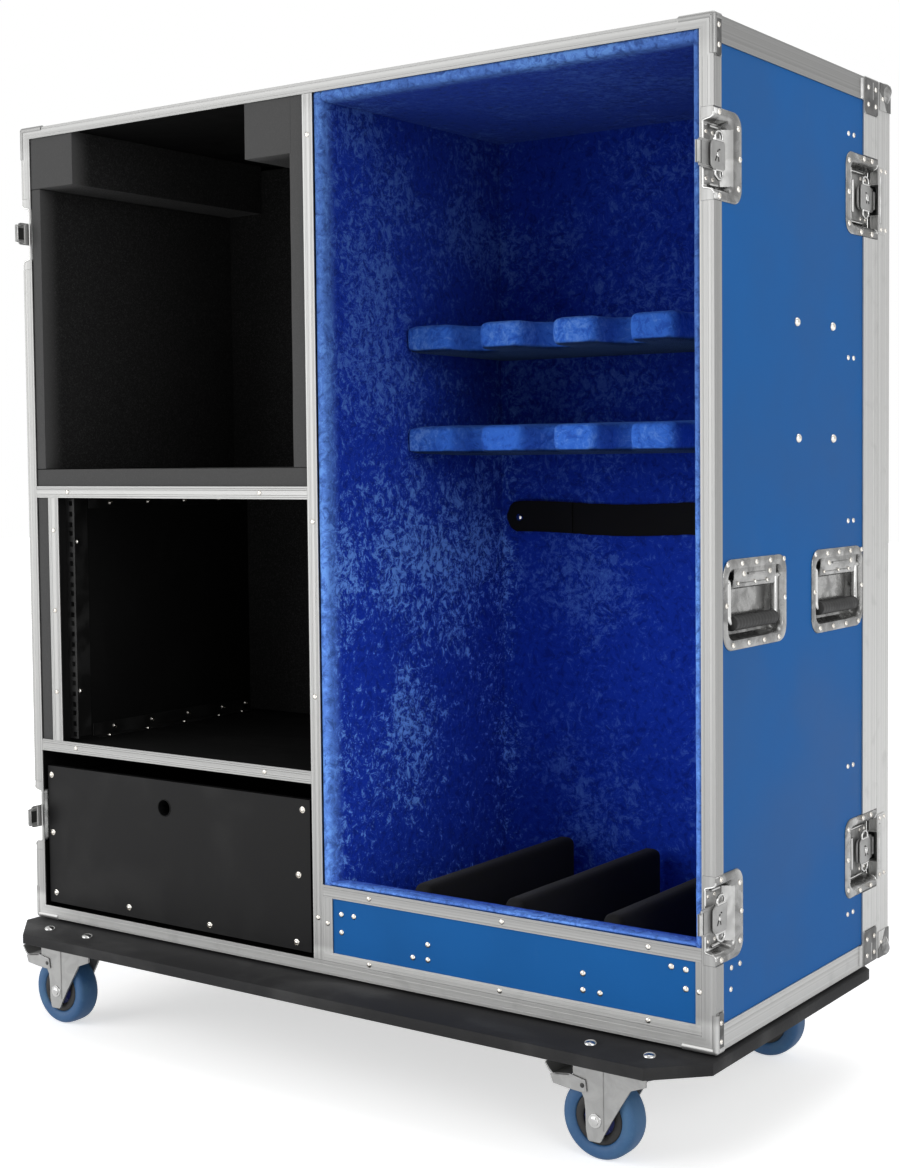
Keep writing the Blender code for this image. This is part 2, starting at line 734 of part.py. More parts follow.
def build_extrusions(case):
    """Build the front frame, the front trim and the edge frame with the parting band."""
    bm = bmesh.new()
    face = (FRAME_SIDE_FACE, FRAME_TOP_FACE, FRAME_BOTTOM_FACE)
    profile = [(0.0, 0.0), (0.0, FRAME_LEG), (SKIN, FRAME_LEG), (SKIN, SKIN), (face, SKIN), (face, 0.0)]
    add_mitred_ring(bm, profile, 0.0, CASE_HEIGHT)
    frame = piece("front_frame", bm, "aluminium", case)
    combine(frame, "UNION", [corner_braces(case, SKIN, FRAME_LEG - SKIN, "front braces")])
    combine(frame, "DIFFERENCE", dish_cutouts(case, "front", "frame cutout"))

    bm = bmesh.new()
    left, right = -HALF_WIDTH + FRAME_SIDE_FACE + GAP, HALF_WIDTH - FRAME_SIDE_FACE - GAP
    low, high = FRAME_BOTTOM_FACE + GAP, CASE_HEIGHT - FRAME_TOP_FACE - GAP
    add_block(bm, (MULLION_LEFT, 0, low), (MULLION_RIGHT, SKIN, high))
    trim = piece("front_trim", bm, "aluminium", case)
    strips = []
    for name, shelf_top in (("upper", AMP_SHELF_TOP), ("lower", RACK_SHELF_TOP)):
        middle = shelf_top - INNER_PLY / 2
        low_corner = (left, 0, middle - TRIM_WIDTH / 2)
        high_corner = ((MULLION_LEFT + MULLION_RIGHT) / 2, SKIN, middle + TRIM_WIDTH / 2)
        strips.append(block_piece(f"{name} rail", low_corner, high_corner, None, case))
    cap_middle = (PARTITION_LEFT + PARTITION_RIGHT) / 2 - SKIN
    cap_low = (cap_middle - CAP_WIDTH / 2, 0, RACK_SHELF_TOP - INNER_PLY / 2)
    cap_high = (cap_middle + CAP_WIDTH / 2, SKIN, AMP_SHELF_TOP - INNER_PLY / 2)
    strips.append(block_piece("partition cap", cap_low, cap_high, None, case))
    bm = bmesh.new()
    border_left, border_top = (MULLION_LEFT + MULLION_RIGHT) / 2, FASCIA_TOP + GAP
    add_block(bm, (border_left, 0, low), (right, SKIN, border_top))
    border = piece("fascia border", bm, None, case)
    window_low = (MULLION_RIGHT + FASCIA_BORDER_LEFT, -SKIN, low + FASCIA_BORDER_BOTTOM - GAP)
    window_high = (right - FASCIA_BORDER_RIGHT, 2 * SKIN, border_top - FASCIA_BORDER_TOP)
    window = block_piece("fascia window", window_low, window_high, None, case)
    combine(border, "DIFFERENCE", [window])
    strips.append(border)
    combine(trim, "UNION", strips)

    bm = bmesh.new()
    band_front = BODY_DEPTH - BAND_LEG
    tongue_out = TONGUE_INSET + TONGUE_THICK
    profile = [(0.0, band_front), (0.0, BODY_DEPTH), (TONGUE_INSET, BODY_DEPTH)]
    profile += [(TONGUE_INSET, BODY_DEPTH + TONGUE_HEIGHT), (tongue_out, BODY_DEPTH + TONGUE_HEIGHT)]
    profile += [(tongue_out, BODY_DEPTH), (BAND_FACE, BODY_DEPTH), (BAND_FACE, BODY_DEPTH - SKIN)]
    profile += [(SKIN, BODY_DEPTH - SKIN), (SKIN, band_front)]
    add_mitred_ring(bm, profile, 0.0, CASE_HEIGHT)
    edges = piece("edge_frame", bm, "aluminium", case)
    angles = bmesh.new()
    for side in (-1, 1):
        for level, z in ((1, 0.0), (-1, CASE_HEIGHT)):
            x = side * HALF_WIDTH
            far_x, far_z = x - side * EDGE_ANGLE, z + level * EDGE_ANGLE
            in_x, in_z = x - side * SKIN, z + level * SKIN
            outline = [(x, z), (x, far_z), (in_x, far_z), (in_x, in_z), (far_x, in_z), (far_x, z)]
            add_prism(angles, outline, FRAME_LEG + GAP, band_front + SKIN, along_y)
    long_angles = piece("long angles", angles, None, case)
    braces = corner_braces(case, band_front + SKIN, BODY_DEPTH - SKIN, "rear braces")
    combine(edges, "UNION", [long_angles, braces])
    combine(edges, "DIFFERENCE", dish_cutouts(case, "rear", "band cutout"))


# Soft fittings


def build_lining(case):
    """Build the plush lining of the guitar bay: four walls, a back and a sunken well with a front."""
    outer_low = (WALL_RIGHT + GAP, PANEL_FRONT_Y, FLOOR_TOP + GAP)
    outer_high = (INSIDE - GAP, LINING_BACK_Y, CEILING - GAP)
    lining = block_piece("plush_lining", outer_low, outer_high, "plush", case)
    well_back = PANEL_FRONT_Y + PLY + GAP + LINING
    outline = [
        (-CUT_PAST, WELL_HEIGHT),
        (well_back, WELL_HEIGHT),
        (well_back, BAY_FLOOR),
        (LINING_FACE_Y, BAY_FLOOR),
        (LINING_FACE_Y, BAY_CEILING),
        (-CUT_PAST, BAY_CEILING),
    ]
    bm = bmesh.new()
    add_prism(bm, outline, BAY_LEFT, BAY_RIGHT, along_x)
    hollow = piece("bay hollow", bm, None, case)
    seat_low = (WALL_RIGHT - LINING, -CUT_PAST, 0.0)
    seat_high = (HALF_WIDTH, PANEL_FRONT_Y + PLY + GAP, FASCIA_TOP + GAP)
    seat = block_piece("fascia seat", seat_low, seat_high, None, case)
    combine(lining, "DIFFERENCE", [hollow, seat] + dish_pockets(1, case, "lining pocket"))


def build_foam(case):
    """Build the foam of the amplifier bay and of the rack bay."""
    left, right = -INSIDE + GAP, WALL_LEFT - GAP
    floor, top = AMP_SHELF_TOP + GAP, CEILING - GAP
    block_bottom = top - CEILING_BLOCK_HEIGHT
    inner_left, inner_right = left + AMP_FOAM_SIDE, right - AMP_FOAM_RIGHT
    outline = [
        (left, floor),
        (right, floor),
        (right, top),
        (inner_right - CEILING_BLOCK_RIGHT, top),
        (inner_right - CEILING_BLOCK_RIGHT, block_bottom),
        (inner_right, block_bottom),
        (inner_right, floor + AMP_FOAM_FLOOR),
        (inner_left, floor + AMP_FOAM_FLOOR),
        (inner_left, block_bottom),
        (inner_left + CEILING_BLOCK_LEFT, block_bottom),
        (inner_left + CEILING_BLOCK_LEFT, top),
        (left, top),
    ]
    bm = bmesh.new()
    add_prism(bm, outline, PANEL_FRONT_Y, FOAM_END_Y, along_y)
    foam = piece("amp_foam", bm, "grey foam", case)
    combine(foam, "DIFFERENCE", dish_pockets(-1, case, "amp pocket"))
    low = (left, PANEL_FRONT_Y, RACK_SHELF_TOP + GAP)
    high = (PARTITION_LEFT - GAP, PARTITION_END_Y, AMP_SHELF_BOTTOM - GAP)
    rack_foam = block_piece("rack_foam", low, high, "grey foam", case)
    combine(rack_foam, "DIFFERENCE", dish_pockets(-1, case, "rack pocket"))


def build_dividers(case):
    """Build the padded dividers that stand in the guitar well, with rounded tops and front corners."""
    slot = (BAY_RIGHT - BAY_LEFT - DIVIDER_COUNT * DIVIDER_THICK) / (DIVIDER_COUNT + 1)
    front = PANEL_FRONT_Y + PLY + GAP + LINING + GAP
    corner = DIVIDER_CORNER
    for i in range(DIVIDER_COUNT):
        left = BAY_LEFT + slot + i * (slot + DIVIDER_THICK)
        outline = rounded_rectangle(
            (left, BAY_FLOOR + GAP), (left + DIVIDER_THICK, DIVIDER_TOP), (0, 0, corner, corner), 4
        )
        bm = bmesh.new()
        add_prism(bm, outline, front, LINING_FACE_Y - DIVIDER_END_ROOM, along_y)
        piece(f"foam_divider_{i + 1}", bm, "grey foam", case)


def neck_rest_outline():
    """Return the toothed plan of a neck rest: equal teeth with round corners between round-ended notches."""
    left, right = BAY_LEFT + GAP, BAY_RIGHT - GAP
    back = LINING_FACE_Y - GAP
    tooth = (right - left - REST_NOTCHES * NOTCH_WIDTH) / (REST_NOTCHES + 1)
    corner = min(TOOTH_CORNER, tooth * TOOTH_ROUND)
    half = NOTCH_WIDTH / 2
    end_y = REST_FRONT_Y + NOTCH_DEPTH - half
    outline = [(left, back), (left, REST_FRONT_Y)]
    for i in range(REST_NOTCHES):
        middle = left + tooth + half + i * (tooth + NOTCH_WIDTH)
        outline += arc((middle - half - corner, REST_FRONT_Y + corner), corner, -90, 0, 3)
        outline += arc((middle, end_y), half, 180, 0, 6)
        outline += arc((middle + half + corner, REST_FRONT_Y + corner), corner, 180, 270, 3)
    outline += [(right, REST_FRONT_Y), (right, back)]
    return outline


def build_neck_rests(case):
    """Build the two padded neck rests, their edges softened as far back as the notches reach."""
    square_from = REST_FRONT_Y + NOTCH_DEPTH + REST_EDGE
    for name, middle in (("neck_rest_upper", REST_UPPER_Z), ("neck_rest_lower", REST_LOWER_Z)):
        bm = bmesh.new()
        low, high = middle - REST_THICK / 2, middle + REST_THICK / 2
        add_prism(bm, neck_rest_outline(), low, high, along_z)
        level = [e for e in bm.edges if e.verts[0].co.z == e.verts[1].co.z]
        rim = [e for e in level if min(v.co.y for v in e.verts) < square_from]
        bmesh.ops.bevel(bm, geom=rim, offset=REST_EDGE, segments=2, profile=0.5, affect="EDGES")
        piece(name, bm, "plush", case)


def build_strap(case):
    """Build the flat neck strap on the back wall, with its round end at the stud."""
    low = (BAY_LEFT + STRAP_START, STRAP_Z - STRAP_WIDTH / 2)
    high = (BAY_LEFT + STRAP_START + STRAP_LENGTH, STRAP_Z + STRAP_WIDTH / 2)
    corner = STRAP_WIDTH * STRAP_ROUND
    bm = bmesh.new()
    outline = rounded_rectangle(low, (min(high[0], BAY_RIGHT - GAP), high[1]), (corner, 0, 0, corner), 4)
    add_prism(bm, outline, LINING_FACE_Y - GAP - STRAP_THICK, LINING_FACE_Y - GAP, along_y)
    piece("neck_strap", bm, "webbing", case)


# Rack rails


def build_rack_rails(case):
    """Build the two punched rack strips: an angle with three square holes to each rack unit."""
    height, bottom = RAIL_HEIGHT, RACK_SHELF_TOP + RAIL_END_ROOM
    for side_name, wall_x, facing in (("left", PARTITION_RIGHT + GAP, 1), ("right", WALL_LEFT - GAP, -1)):
        flange, front = facing * RAIL_FLANGE, RAIL_FRONT_Y
        thick = facing * RAIL_THICK
        outline = [
            (wall_x, front),
            (wall_x + flange, front),
            (wall_x + flange, front + RAIL_THICK),
            (wall_x + thick, front + RAIL_THICK),
            (wall_x + thick, front + RAIL_SIDE),
            (wall_x, front + RAIL_SIDE),
        ]
        bm = bmesh.new()
        add_prism(bm, outline, bottom, bottom + height, along_z)
        rail = piece(f"rack_rail_{side_name}", bm, "black board", case)
        holes = bmesh.new()
        middle_x = wall_x + flange * RAIL_HOLE_PLACE
        for unit in range(RACK_UNITS):
            for pitch in RAIL_HOLE_PITCHES:
                z = bottom + unit * RACK_UNIT + pitch
                low = (middle_x - RAIL_HOLE / 2, front - RAIL_THICK, z - RAIL_HOLE / 2)
                high = (middle_x + RAIL_HOLE / 2, front + 2 * RAIL_THICK, z + RAIL_HOLE / 2)
                add_block(holes, low, high)
        combine(rail, "DIFFERENCE", [piece(f"rail holes {side_name}", holes, None, case)])


# Drawer


def build_drawer(case):
    """Build the drawer: an open box with its runner members, and the front board fixed to it."""
    middle = (-INSIDE + WALL_LEFT) / 2
    front_y = DRAWER_FRONT_Y + PLY + GAP
    back_y = BODY_DEPTH - DRAWER_REAR_ROOM
    low = (DRAWER_LEFT, front_y, DRAWER_BOX_BOTTOM)
    high = (DRAWER_RIGHT, back_y, DRAWER_BOX_TOP)
    box = block_piece("drawer_box", low, high, "black board", case)
    inner_low = (low[0] + PLY, low[1] + PLY, low[2] + PLY)
    inner_high = (high[0] - PLY, high[1] - PLY, high[2] + PLY)
    hollow = block_piece("drawer hollow", inner_low, inner_high, None, case)
    members = bmesh.new()
    half = RUNNER_HEIGHT / 2 - RUNNER_WALL - GAP
    wall, reach = RUNNER_WALL, RUNNER_WIDTH - RUNNER_WALL - 2 * GAP
    for side, face in ((-1, DRAWER_LEFT), (1, DRAWER_RIGHT)):
        points = [(-wall, -half), (reach, -half), (reach, -half + wall), (wall, -half + wall)]
        points += [(wall, half - wall), (reach, half - wall), (reach, half), (-wall, half)]
        outline = [(face + side * x, z + RUNNER_Z) for x, z in points]
        add_prism(members, outline, RUNNER_START_Y, RUNNER_START_Y + RUNNER_LENGTH, along_y)
    combine(box, "UNION", [piece("drawer members", members, None, case)])
    combine(box, "DIFFERENCE", [hollow, finger_hole("box finger hole", case)])

    front_low = (middle - DRAWER_FRONT_WIDTH / 2, DRAWER_FRONT_Y, DRAWER_FRONT_BOTTOM)
    front_high = (middle + DRAWER_FRONT_WIDTH / 2, DRAWER_FRONT_Y + PLY, DRAWER_FRONT_TOP)
    front = block_piece("drawer_front", front_low, front_high, "black board", case)
    combine(front, "DIFFERENCE", [finger_hole("front finger hole", case)])


def finger_hole(name, case):
    """Return the guide that drills the drawer's finger hole."""

    def place(p, q, along):
        return (FINGER_HOLE_X + p, along, FINGER_HOLE_Z + q)

    bm = bmesh.new()
    past_box = DRAWER_FRONT_Y + 2 * PLY + CUT_PAST / 2
    add_turned(bm, [(FINGER_HOLE, 0.0), (FINGER_HOLE, past_box)], place, 20)
    return piece(name, bm, None, case)


# Rear cover


def strike_outline():
    """Return the strike pocket's inner section in (u, d), with the ridge that the hook's lip pulls on."""
    ridge_d, end_u = STRIKE_DEPTH - RIDGE_HEIGHT, -(HOOK_REACH + HOOK_THROW + 2 * GAP)
    top = SKIN - 2 * GAP
    return [
        (CUT_PAST, top),
        (CUT_PAST, ridge_d),
        (-GAP - DISH_WALL, ridge_d),
        (-GAP - DISH_WALL, STRIKE_DEPTH),
        (end_u, STRIKE_DEPTH),
        (end_u, top),
    ]


def rear_latch_guides(case, name, low_u, low_d, high_d, half_v):
    """Return box guides at the four strike pockets, u counted from the parting plane into the cover."""
    guides = []
    for label, _side, opening, _z, place in latch_sites():
        if opening != "rear":
            continue
        bm = bmesh.new()
        outline = [(-GAP, -half_v), (-GAP, half_v), (low_u, half_v), (low_u, -half_v)]
        add_prism(bm, outline, low_d, high_d, place)
        guides.append(piece(f"{name} {label}", bm, None, case))
    return guides


def strike_cavities(case):
    """Return the guides that hollow the four strike pockets and open their mouths through the outer leg."""
    guides = rear_latch_guides(case, "strike mouth", -STRIKE_MOUTH, -CUT_PAST, SKIN, STRIKE_HALF)
    for guide in guides:
        for vertex in guide.data.vertices:
            if vertex.co.y < BODY_DEPTH + SKIN:
                vertex.co.y -= SKIN
    for label, side, opening, z, _place in latch_sites():
        if opening != "rear":
            continue

        def place(u, d, v, side=side, z=z):
            return (side * (HALF_WIDTH - d), BODY_DEPTH - u, z + v)

        bm = bmesh.new()
        add_prism(bm, strike_outline(), -STRIKE_HALF, STRIKE_HALF, place)
        guides.append(piece(f"strike cavity {label}", bm, None, case))
    return guides


def ball_corners(case):
    """Return the guide of the cover's four ball corners with their leaves, hollow where the cover is."""
    bm = bmesh.new()
    centre_in = BALL_RADIUS - BALL_PROUD
    leaves = bmesh.new()
    for side in (-1, 1):
        for level, z in ((1, 0.0), (-1, CASE_HEIGHT)):
            centre = Vector((side * (HALF_WIDTH - centre_in), CASE_BACK - centre_in, z + level * centre_in))
            ball = bmesh.ops.create_uvsphere(bm, u_segments=12, v_segments=8, radius=BALL_RADIUS)
            bmesh.ops.translate(bm, verts=ball["verts"], vec=centre)
            corner = (side * (HALF_WIDTH + BRACE_PROUD), CASE_BACK + BRACE_PROUD, z - level * BRACE_PROUD)
            inner = (corner[0] - side * BALL_PLATE, corner[1] - BALL_PLATE, corner[2] + level * BALL_PLATE)
            low = [min(p, q) for p, q in zip(corner, inner)]
            high = [max(p, q) for p, q in zip(corner, inner)]
            add_block(leaves, low, high)
    balls = piece("ball corners", bm, None, case)
    leaf = piece("ball leaves", leaves, None, case)
    core_low = (-HALF_WIDTH + SKIN / 2, BODY_DEPTH - CUT_PAST, SKIN / 2)
    core_high = (HALF_WIDTH - SKIN / 2, CASE_BACK - SKIN / 2, CASE_HEIGHT - SKIN / 2)
    combine(balls, "UNION", [leaf])
    combine(balls, "DIFFERENCE", [block_piece("ball core", core_low, core_high, None, case)])
    return balls


def build_cover(case, cover):
    """Build the rear cover: its frame with strikes and ball corners, its panel and its foam."""
    start, groove_end = BODY_DEPTH + GAP, BODY_DEPTH + GROOVE_DEPTH
    inner = PANEL_IN
    bm = bmesh.new()
    profile = [
        (0.0, start),
        (0.0, CASE_BACK),
        (COVER_BACK_LEG, CASE_BACK),
        (COVER_BACK_LEG, CASE_BACK - SKIN),
        (SKIN, CASE_BACK - SKIN),
        (SKIN, groove_end + SKIN),
        (inner, groove_end + SKIN),
        (inner, start),
        (inner - SKIN, start),
        (inner - SKIN, groove_end),
        (SKIN, groove_end),
        (SKIN, start),
    ]
    add_mitred_ring(bm, profile, 0.0, CASE_HEIGHT)
    frame = piece("cover_frame", bm, "aluminium", cover)
    pocket_end = -(HOOK_REACH + HOOK_THROW + 2 * GAP + DISH_WALL)
    pocket_half, pocket_floor = STRIKE_HALF + DISH_WALL, STRIKE_DEPTH + DISH_WALL
    pockets = rear_latch_guides(case, "strike pocket", pocket_end, SKIN / 2, pocket_floor, pocket_half)
    combine(frame, "UNION", pockets + [ball_corners(case)])
    combine(frame, "DIFFERENCE", strike_cavities(case))

    outer_low = (-HALF_WIDTH + PANEL_OUT, groove_end + SKIN + GAP, PANEL_OUT)
    outer_high = (HALF_WIDTH - PANEL_OUT, CASE_BACK - PANEL_OUT, CASE_HEIGHT - PANEL_OUT)
    panel = block_piece("cover_panel", outer_low, outer_high, "laminate", cover)
    hollow_low = (-INSIDE, BODY_DEPTH, FLOOR_TOP)
    hollow_high = (INSIDE, outer_high[1] - PLY, CEILING)
    hollow = block_piece("cover hollow", hollow_low, hollow_high, None, case)
    notch = (pocket_end - GAP, -SKIN, pocket_floor + GAP, pocket_half + GAP)
    combine(panel, "DIFFERENCE", [hollow] + rear_latch_guides(case, "panel notch", *notch))

    foam_low = (-INSIDE + GAP, BODY_DEPTH + 2 * GAP, FLOOR_TOP + GAP)
    foam_high = (INSIDE - GAP, hollow_high[1] - GAP, CEILING - GAP)
    foam = block_piece("cover_foam", foam_low, foam_high, "grey foam", cover)
    pad_left, pad_right = -HALF_WIDTH + BAND_FACE + PAD_CLEAR, WALL_LEFT - PAD_CLEAR
    amp_low = (pad_left, LINING_FACE_Y, AMP_SHELF_TOP + PAD_CLEAR)
    amp_high = (pad_right, BODY_DEPTH + SKIN, CASE_HEIGHT - BAND_FACE - PAD_CLEAR)
    rack_low = (pad_left, PARTITION_END_Y + GAP, RACK_SHELF_TOP + PAD_CLEAR)
    rack_high = (pad_right, BODY_DEPTH + SKIN, AMP_SHELF_BOTTOM - PAD_CLEAR)
    pads = [
        block_piece("amp pad", amp_low, amp_high, None, case),
        block_piece("rack pad", rack_low, rack_high, None, case),
    ]
    combine(foam, "UNION", pads)
    combine(foam, "DIFFERENCE", rear_latch_guides(case, "foam notch", *notch))


# Latches


def wing_outline():
    """Return the bow-tie outline of a latch wing in (v, u) about its spindle."""
    half_v, half_u, waist = WING_LENGTH / 2, WING_WIDTH / 2, WING_WAIST / 2
    lobe = half_v * WING_LOBE
    right = [(waist, -waist), (half_v - lobe, -half_u)] + arc((half_v - half_u, 0.0), half_u, -60, 60, 4)
    right += [(half_v - lobe, half_u), (waist, waist)]
    left = [(-v, -u) for v, u in right]
    return right + left


def latch_frame(side, opening, z):
    """Return a latch's origin on its spindle and the way towards its opening along y."""
    outward = -1 if opening == "front" else 1
    parting = 0.0 if opening == "front" else BODY_DEPTH
    return (side * (HALF_WIDTH - WING_TOP), parting - outward * spindle_distance(opening), z), outward


def build_wing(case, label, side, outward, origin):
    """Build a wing: a bow-tie plate below the dish's rim, on the spindle that reaches the dish's floor."""

    def across(v, u, depth):
        return (-side * depth, outward * u, v)

    def inward(p, q, depth):
        return (-side * depth, p, q)

    wing = bmesh.new()
    add_prism(wing, wing_outline(), 0.0, WING_THICK, across)
    wing_object = piece(f"latch_wing_{label}", wing, "steel", case, origin)
    pin = bmesh.new()
    pin_end = DISH_DEPTH - GAP - WING_TOP
    add_turned(pin, [(SPINDLE_RADIUS, WING_THICK / 2), (SPINDLE_RADIUS, pin_end)], inward, 10)
    combine(wing_object, "UNION", [piece(f"spindle {label}", pin, None, case, origin)])


def build_hook(case, label, side, outward, origin, spindle, rest_shift):
    """Build a hook: a plate with a lip that pulls on the strike and a slot that slides along the spindle.

    Its points are drawn for the closed latch, from the opening, and rest_shift moves them outward.
    """
    reach = spindle + rest_shift
    tip, slot_start, slot_end = HOOK_REACH, -spindle, -(spindle + HOOK_THROW)
    radius = SPINDLE_RADIUS + GAP
    tail = slot_end - radius - HOOK_TAIL
    top, bottom = HOOK_TOP - WING_TOP, HOOK_TOP - WING_TOP + HOOK_THICK
    lip_d, lip_r = bottom + HOOK_LIP - HOOK_THICK, tip - HOOK_THICK

    def profile_place(r, depth, v):
        return (-side * depth, outward * (r + reach), v)

    def plan_place(r, v, depth):
        return (-side * depth, outward * (r + reach), v)

    hook = bmesh.new()
    section = [(tail, top), (tip, top), (tip, lip_d), (lip_r, lip_d), (lip_r, bottom), (tail, bottom)]
    add_prism(hook, section, -HOOK_HALF, HOOK_HALF, profile_place)
    hook_object = piece(f"latch_hook_{label}", hook, "steel", case, origin)
    slot = bmesh.new()
    outline = arc((slot_start, 0.0), radius, -90, 90, 4) + arc((slot_end, 0.0), radius, 90, 270, 4)
    add_prism(slot, outline, 0.0, bottom * 2, plan_place)
    combine(hook_object, "DIFFERENCE", [piece(f"hook slot {label}", slot, None, case, origin)])


def build_latches(case):
    """Build each butterfly latch's wing and hook; the front hooks rest open, the rear ones closed."""
    for label, side, opening, z, _place in latch_sites():
        origin, outward = latch_frame(side, opening, z)
        build_wing(case, label, side, outward, origin)
        rest_shift = HOOK_THROW if opening == "front" else 0.0
        build_hook(case, label, side, outward, origin, spindle_distance(opening), rest_shift)


# Handles


def bail_route():
    """Return the bail's wire route in (y, z) from pin to pin, its corners bent round."""
    outer = HANDLE_RECESS[0] / 2 + PIN_LENGTH
    bend, eye = BAIL_BEND, BAIL_EYE_BEND
    left = [(-outer, 0.0)]
    left += arc((-BAIL_HALF - eye, -eye), eye, 90, 0, 3)
    left += arc((-BAIL_HALF + bend, -BAIL_DROP + bend), bend, 180, 270, 4)
    return left + [(-y, z) for y, z in reversed(left)]


def build_handles(case):
    """Build each sprung handle: a bent wire bail with a rubber grip, its origin on the pivot."""
    for label, side, y, _place in handle_sites():
        origin = (side * (HALF_WIDTH - PIVOT_DEPTH), y, HANDLE_Z + PIVOT_RISE)
        curve = bpy.data.curves.new(f"handle_bail_{label}", "CURVE")
        curve.dimensions = "3D"
        curve.bevel_depth = BAIL_RADIUS
        curve.bevel_resolution = 1
        curve.use_fill_caps = True
        curve.materials.append(material("steel"))
        route = bail_route()
        spline = curve.splines.new("POLY")
        spline.points.add(len(route) - 1)
        for point, (along, height) in zip(spline.points, route):
            point.co = (0.0, along, height, 1.0)
        wire = bpy.data.objects.new(f"bail wire {label}", curve)
        bpy.context.scene.collection.objects.link(wire)
        wire.location = origin
        wire.parent = case
        half = GRIP_LENGTH / 2
        end = half - GRIP_END_LENGTH
        profile = [(GRIP_END_RADIUS, -half), (GRIP_RADIUS, -end), (GRIP_RADIUS, end), (GRIP_END_RADIUS, half)]
        grip = bmesh.new()
        add_turned(grip, profile, lambda p, q, along: (p, along, q - BAIL_DROP), 12)
        bail = piece(f"handle_bail_{label}", grip, "webbing", case, origin, smooth=40)
        combine(bail, "UNION", [wire_mesh(wire, label, case, origin)])


def wire_mesh(wire, label, case, origin):
    """Return the wire's curve as a mesh guide, so that the grip can be joined to it."""
    mesh = bpy.data.meshes.new_from_object(wire.evaluated_get(bpy.context.evaluated_depsgraph_get()))
    bpy.data.objects.remove(wire)
    guide = bpy.data.objects.new(f"bail wire {label}", mesh)
    bpy.context.scene.collection.objects.link(guide)
    guide.location = origin
    guide.parent = case
    return guide


# Castor board and castors


def castor_sites():
    """Yield each castor's name, its swivel's x and y in case coordinates, and whether it has a brake."""
    x = HALF_WIDTH + BOARD_SIDE - CASTOR_END_INSET
    front = -BOARD_FRONT + CASTOR_FRONT_INSET
    rear = CASE_BACK - BOARD_REAR - CASTOR_REAR_INSET
    for row, y, braked in (("front", front, True), ("rear", rear, False)):
        for side_name, side in SIDES.items():
            yield f"{row}_{side_name}", side * x, y, braked


def build_board(case):
    """Build the castor board: chamfered board, packing sheet and the castors' plates with their races."""
    x, front, rear, chamfer = HALF_WIDTH + BOARD_SIDE, -BOARD_FRONT, CASE_BACK - BOARD_REAR, BOARD_CHAMFER
    outline = [
        (-x + chamfer, front),
        (x - chamfer, front),
        (x, front + chamfer),
        (x, rear - chamfer),
        (x - chamfer, rear),
        (-x + chamfer, rear),
        (-x, rear - chamfer),
        (-x, front + chamfer),
    ]
    top = -GAP - PACKING_THICK
    bm = bmesh.new()
    add_prism(bm, outline, top - BOARD_THICK, top, along_z)
    board = piece("castor_board", bm, "black board", case)
    inset = PACKING_INSET
    packing_low = (-HALF_WIDTH + inset, inset, top - SKIN)
    packing_high = (HALF_WIDTH - inset, BODY_DEPTH - inset, -GAP)
    joined = [block_piece("packing", packing_low, packing_high, None, case)]
    bottom = top - BOARD_THICK
    plates, races, bores = bmesh.new(), bmesh.new(), bmesh.new()
    half_x, half_y, thick = CASTOR_PLATE[0] / 2, CASTOR_PLATE[1] / 2, CASTOR_PLATE[2]
    corners = (CASTOR_PLATE_CORNER,) * 4
    for _label, cx, cy, _braked in castor_sites():
        outline = rounded_rectangle((cx - half_x, cy - half_y), (cx + half_x, cy + half_y), corners, 2)
        add_prism(plates, outline, bottom - thick, bottom + SKIN, along_z)

        def place(p, q, along, cx=cx, cy=cy):
            return (cx + p, cy + q, bottom - thick - along)

        race = [(RACE_RADIUS - 3 * RACE_EDGE, -SKIN), (RACE_RADIUS, RACE_EDGE), (RACE_RADIUS, RACE_HEIGHT)]
        add_turned(races, race, place, 16)
        bore = KING_PIN_RADIUS + GAP * 1.5
        add_turned(bores, [(bore, 0.0), (bore, 2 * RACE_HEIGHT)], place, 12)
    joined += [piece("castor plates", plates, None, case), piece("upper races", races, None, case)]
    combine(board, "UNION", joined)
    combine(board, "DIFFERENCE", [piece("king pin bores", bores, None, case)])


def castor_place(x, y):
    """Return the world place of a castor's swivel axis at the floor."""
    return (x, y + CASE_FRONT_Y, 0.0)


def below_crown(points):
    """Return (trail, height) points from ones given by their depth below the crown's top."""
    return [(t, CROWN_TOP - depth) for t, depth in points]


def over_axle(points):
    """Return (trail, height) points from ones given by their height over the axle."""
    return [(t, WHEEL_RADIUS + height) for t, height in points]


def fork_side_outline():
    """Return a fork leg in (trail, height above the floor): wide under the crown, narrow at the axle."""
    foot_middle = (CASTOR_TRAIL + FORK_FOOT_OFFSET[0], WHEEL_RADIUS + FORK_FOOT_OFFSET[1])
    foot = arc(foot_middle, FORK_FOOT_RADIUS, 200, 330, 4)
    top = [(CROWN_ENDS[1], CROWN_TOP), (CROWN_ENDS[0], CROWN_TOP)]
    front = below_crown(FORK_FRONT_CROWN) + over_axle(FORK_FRONT_AXLE)
    return top + front + foot + over_axle(FORK_REAR_AXLE) + below_crown(FORK_REAR_CROWN)


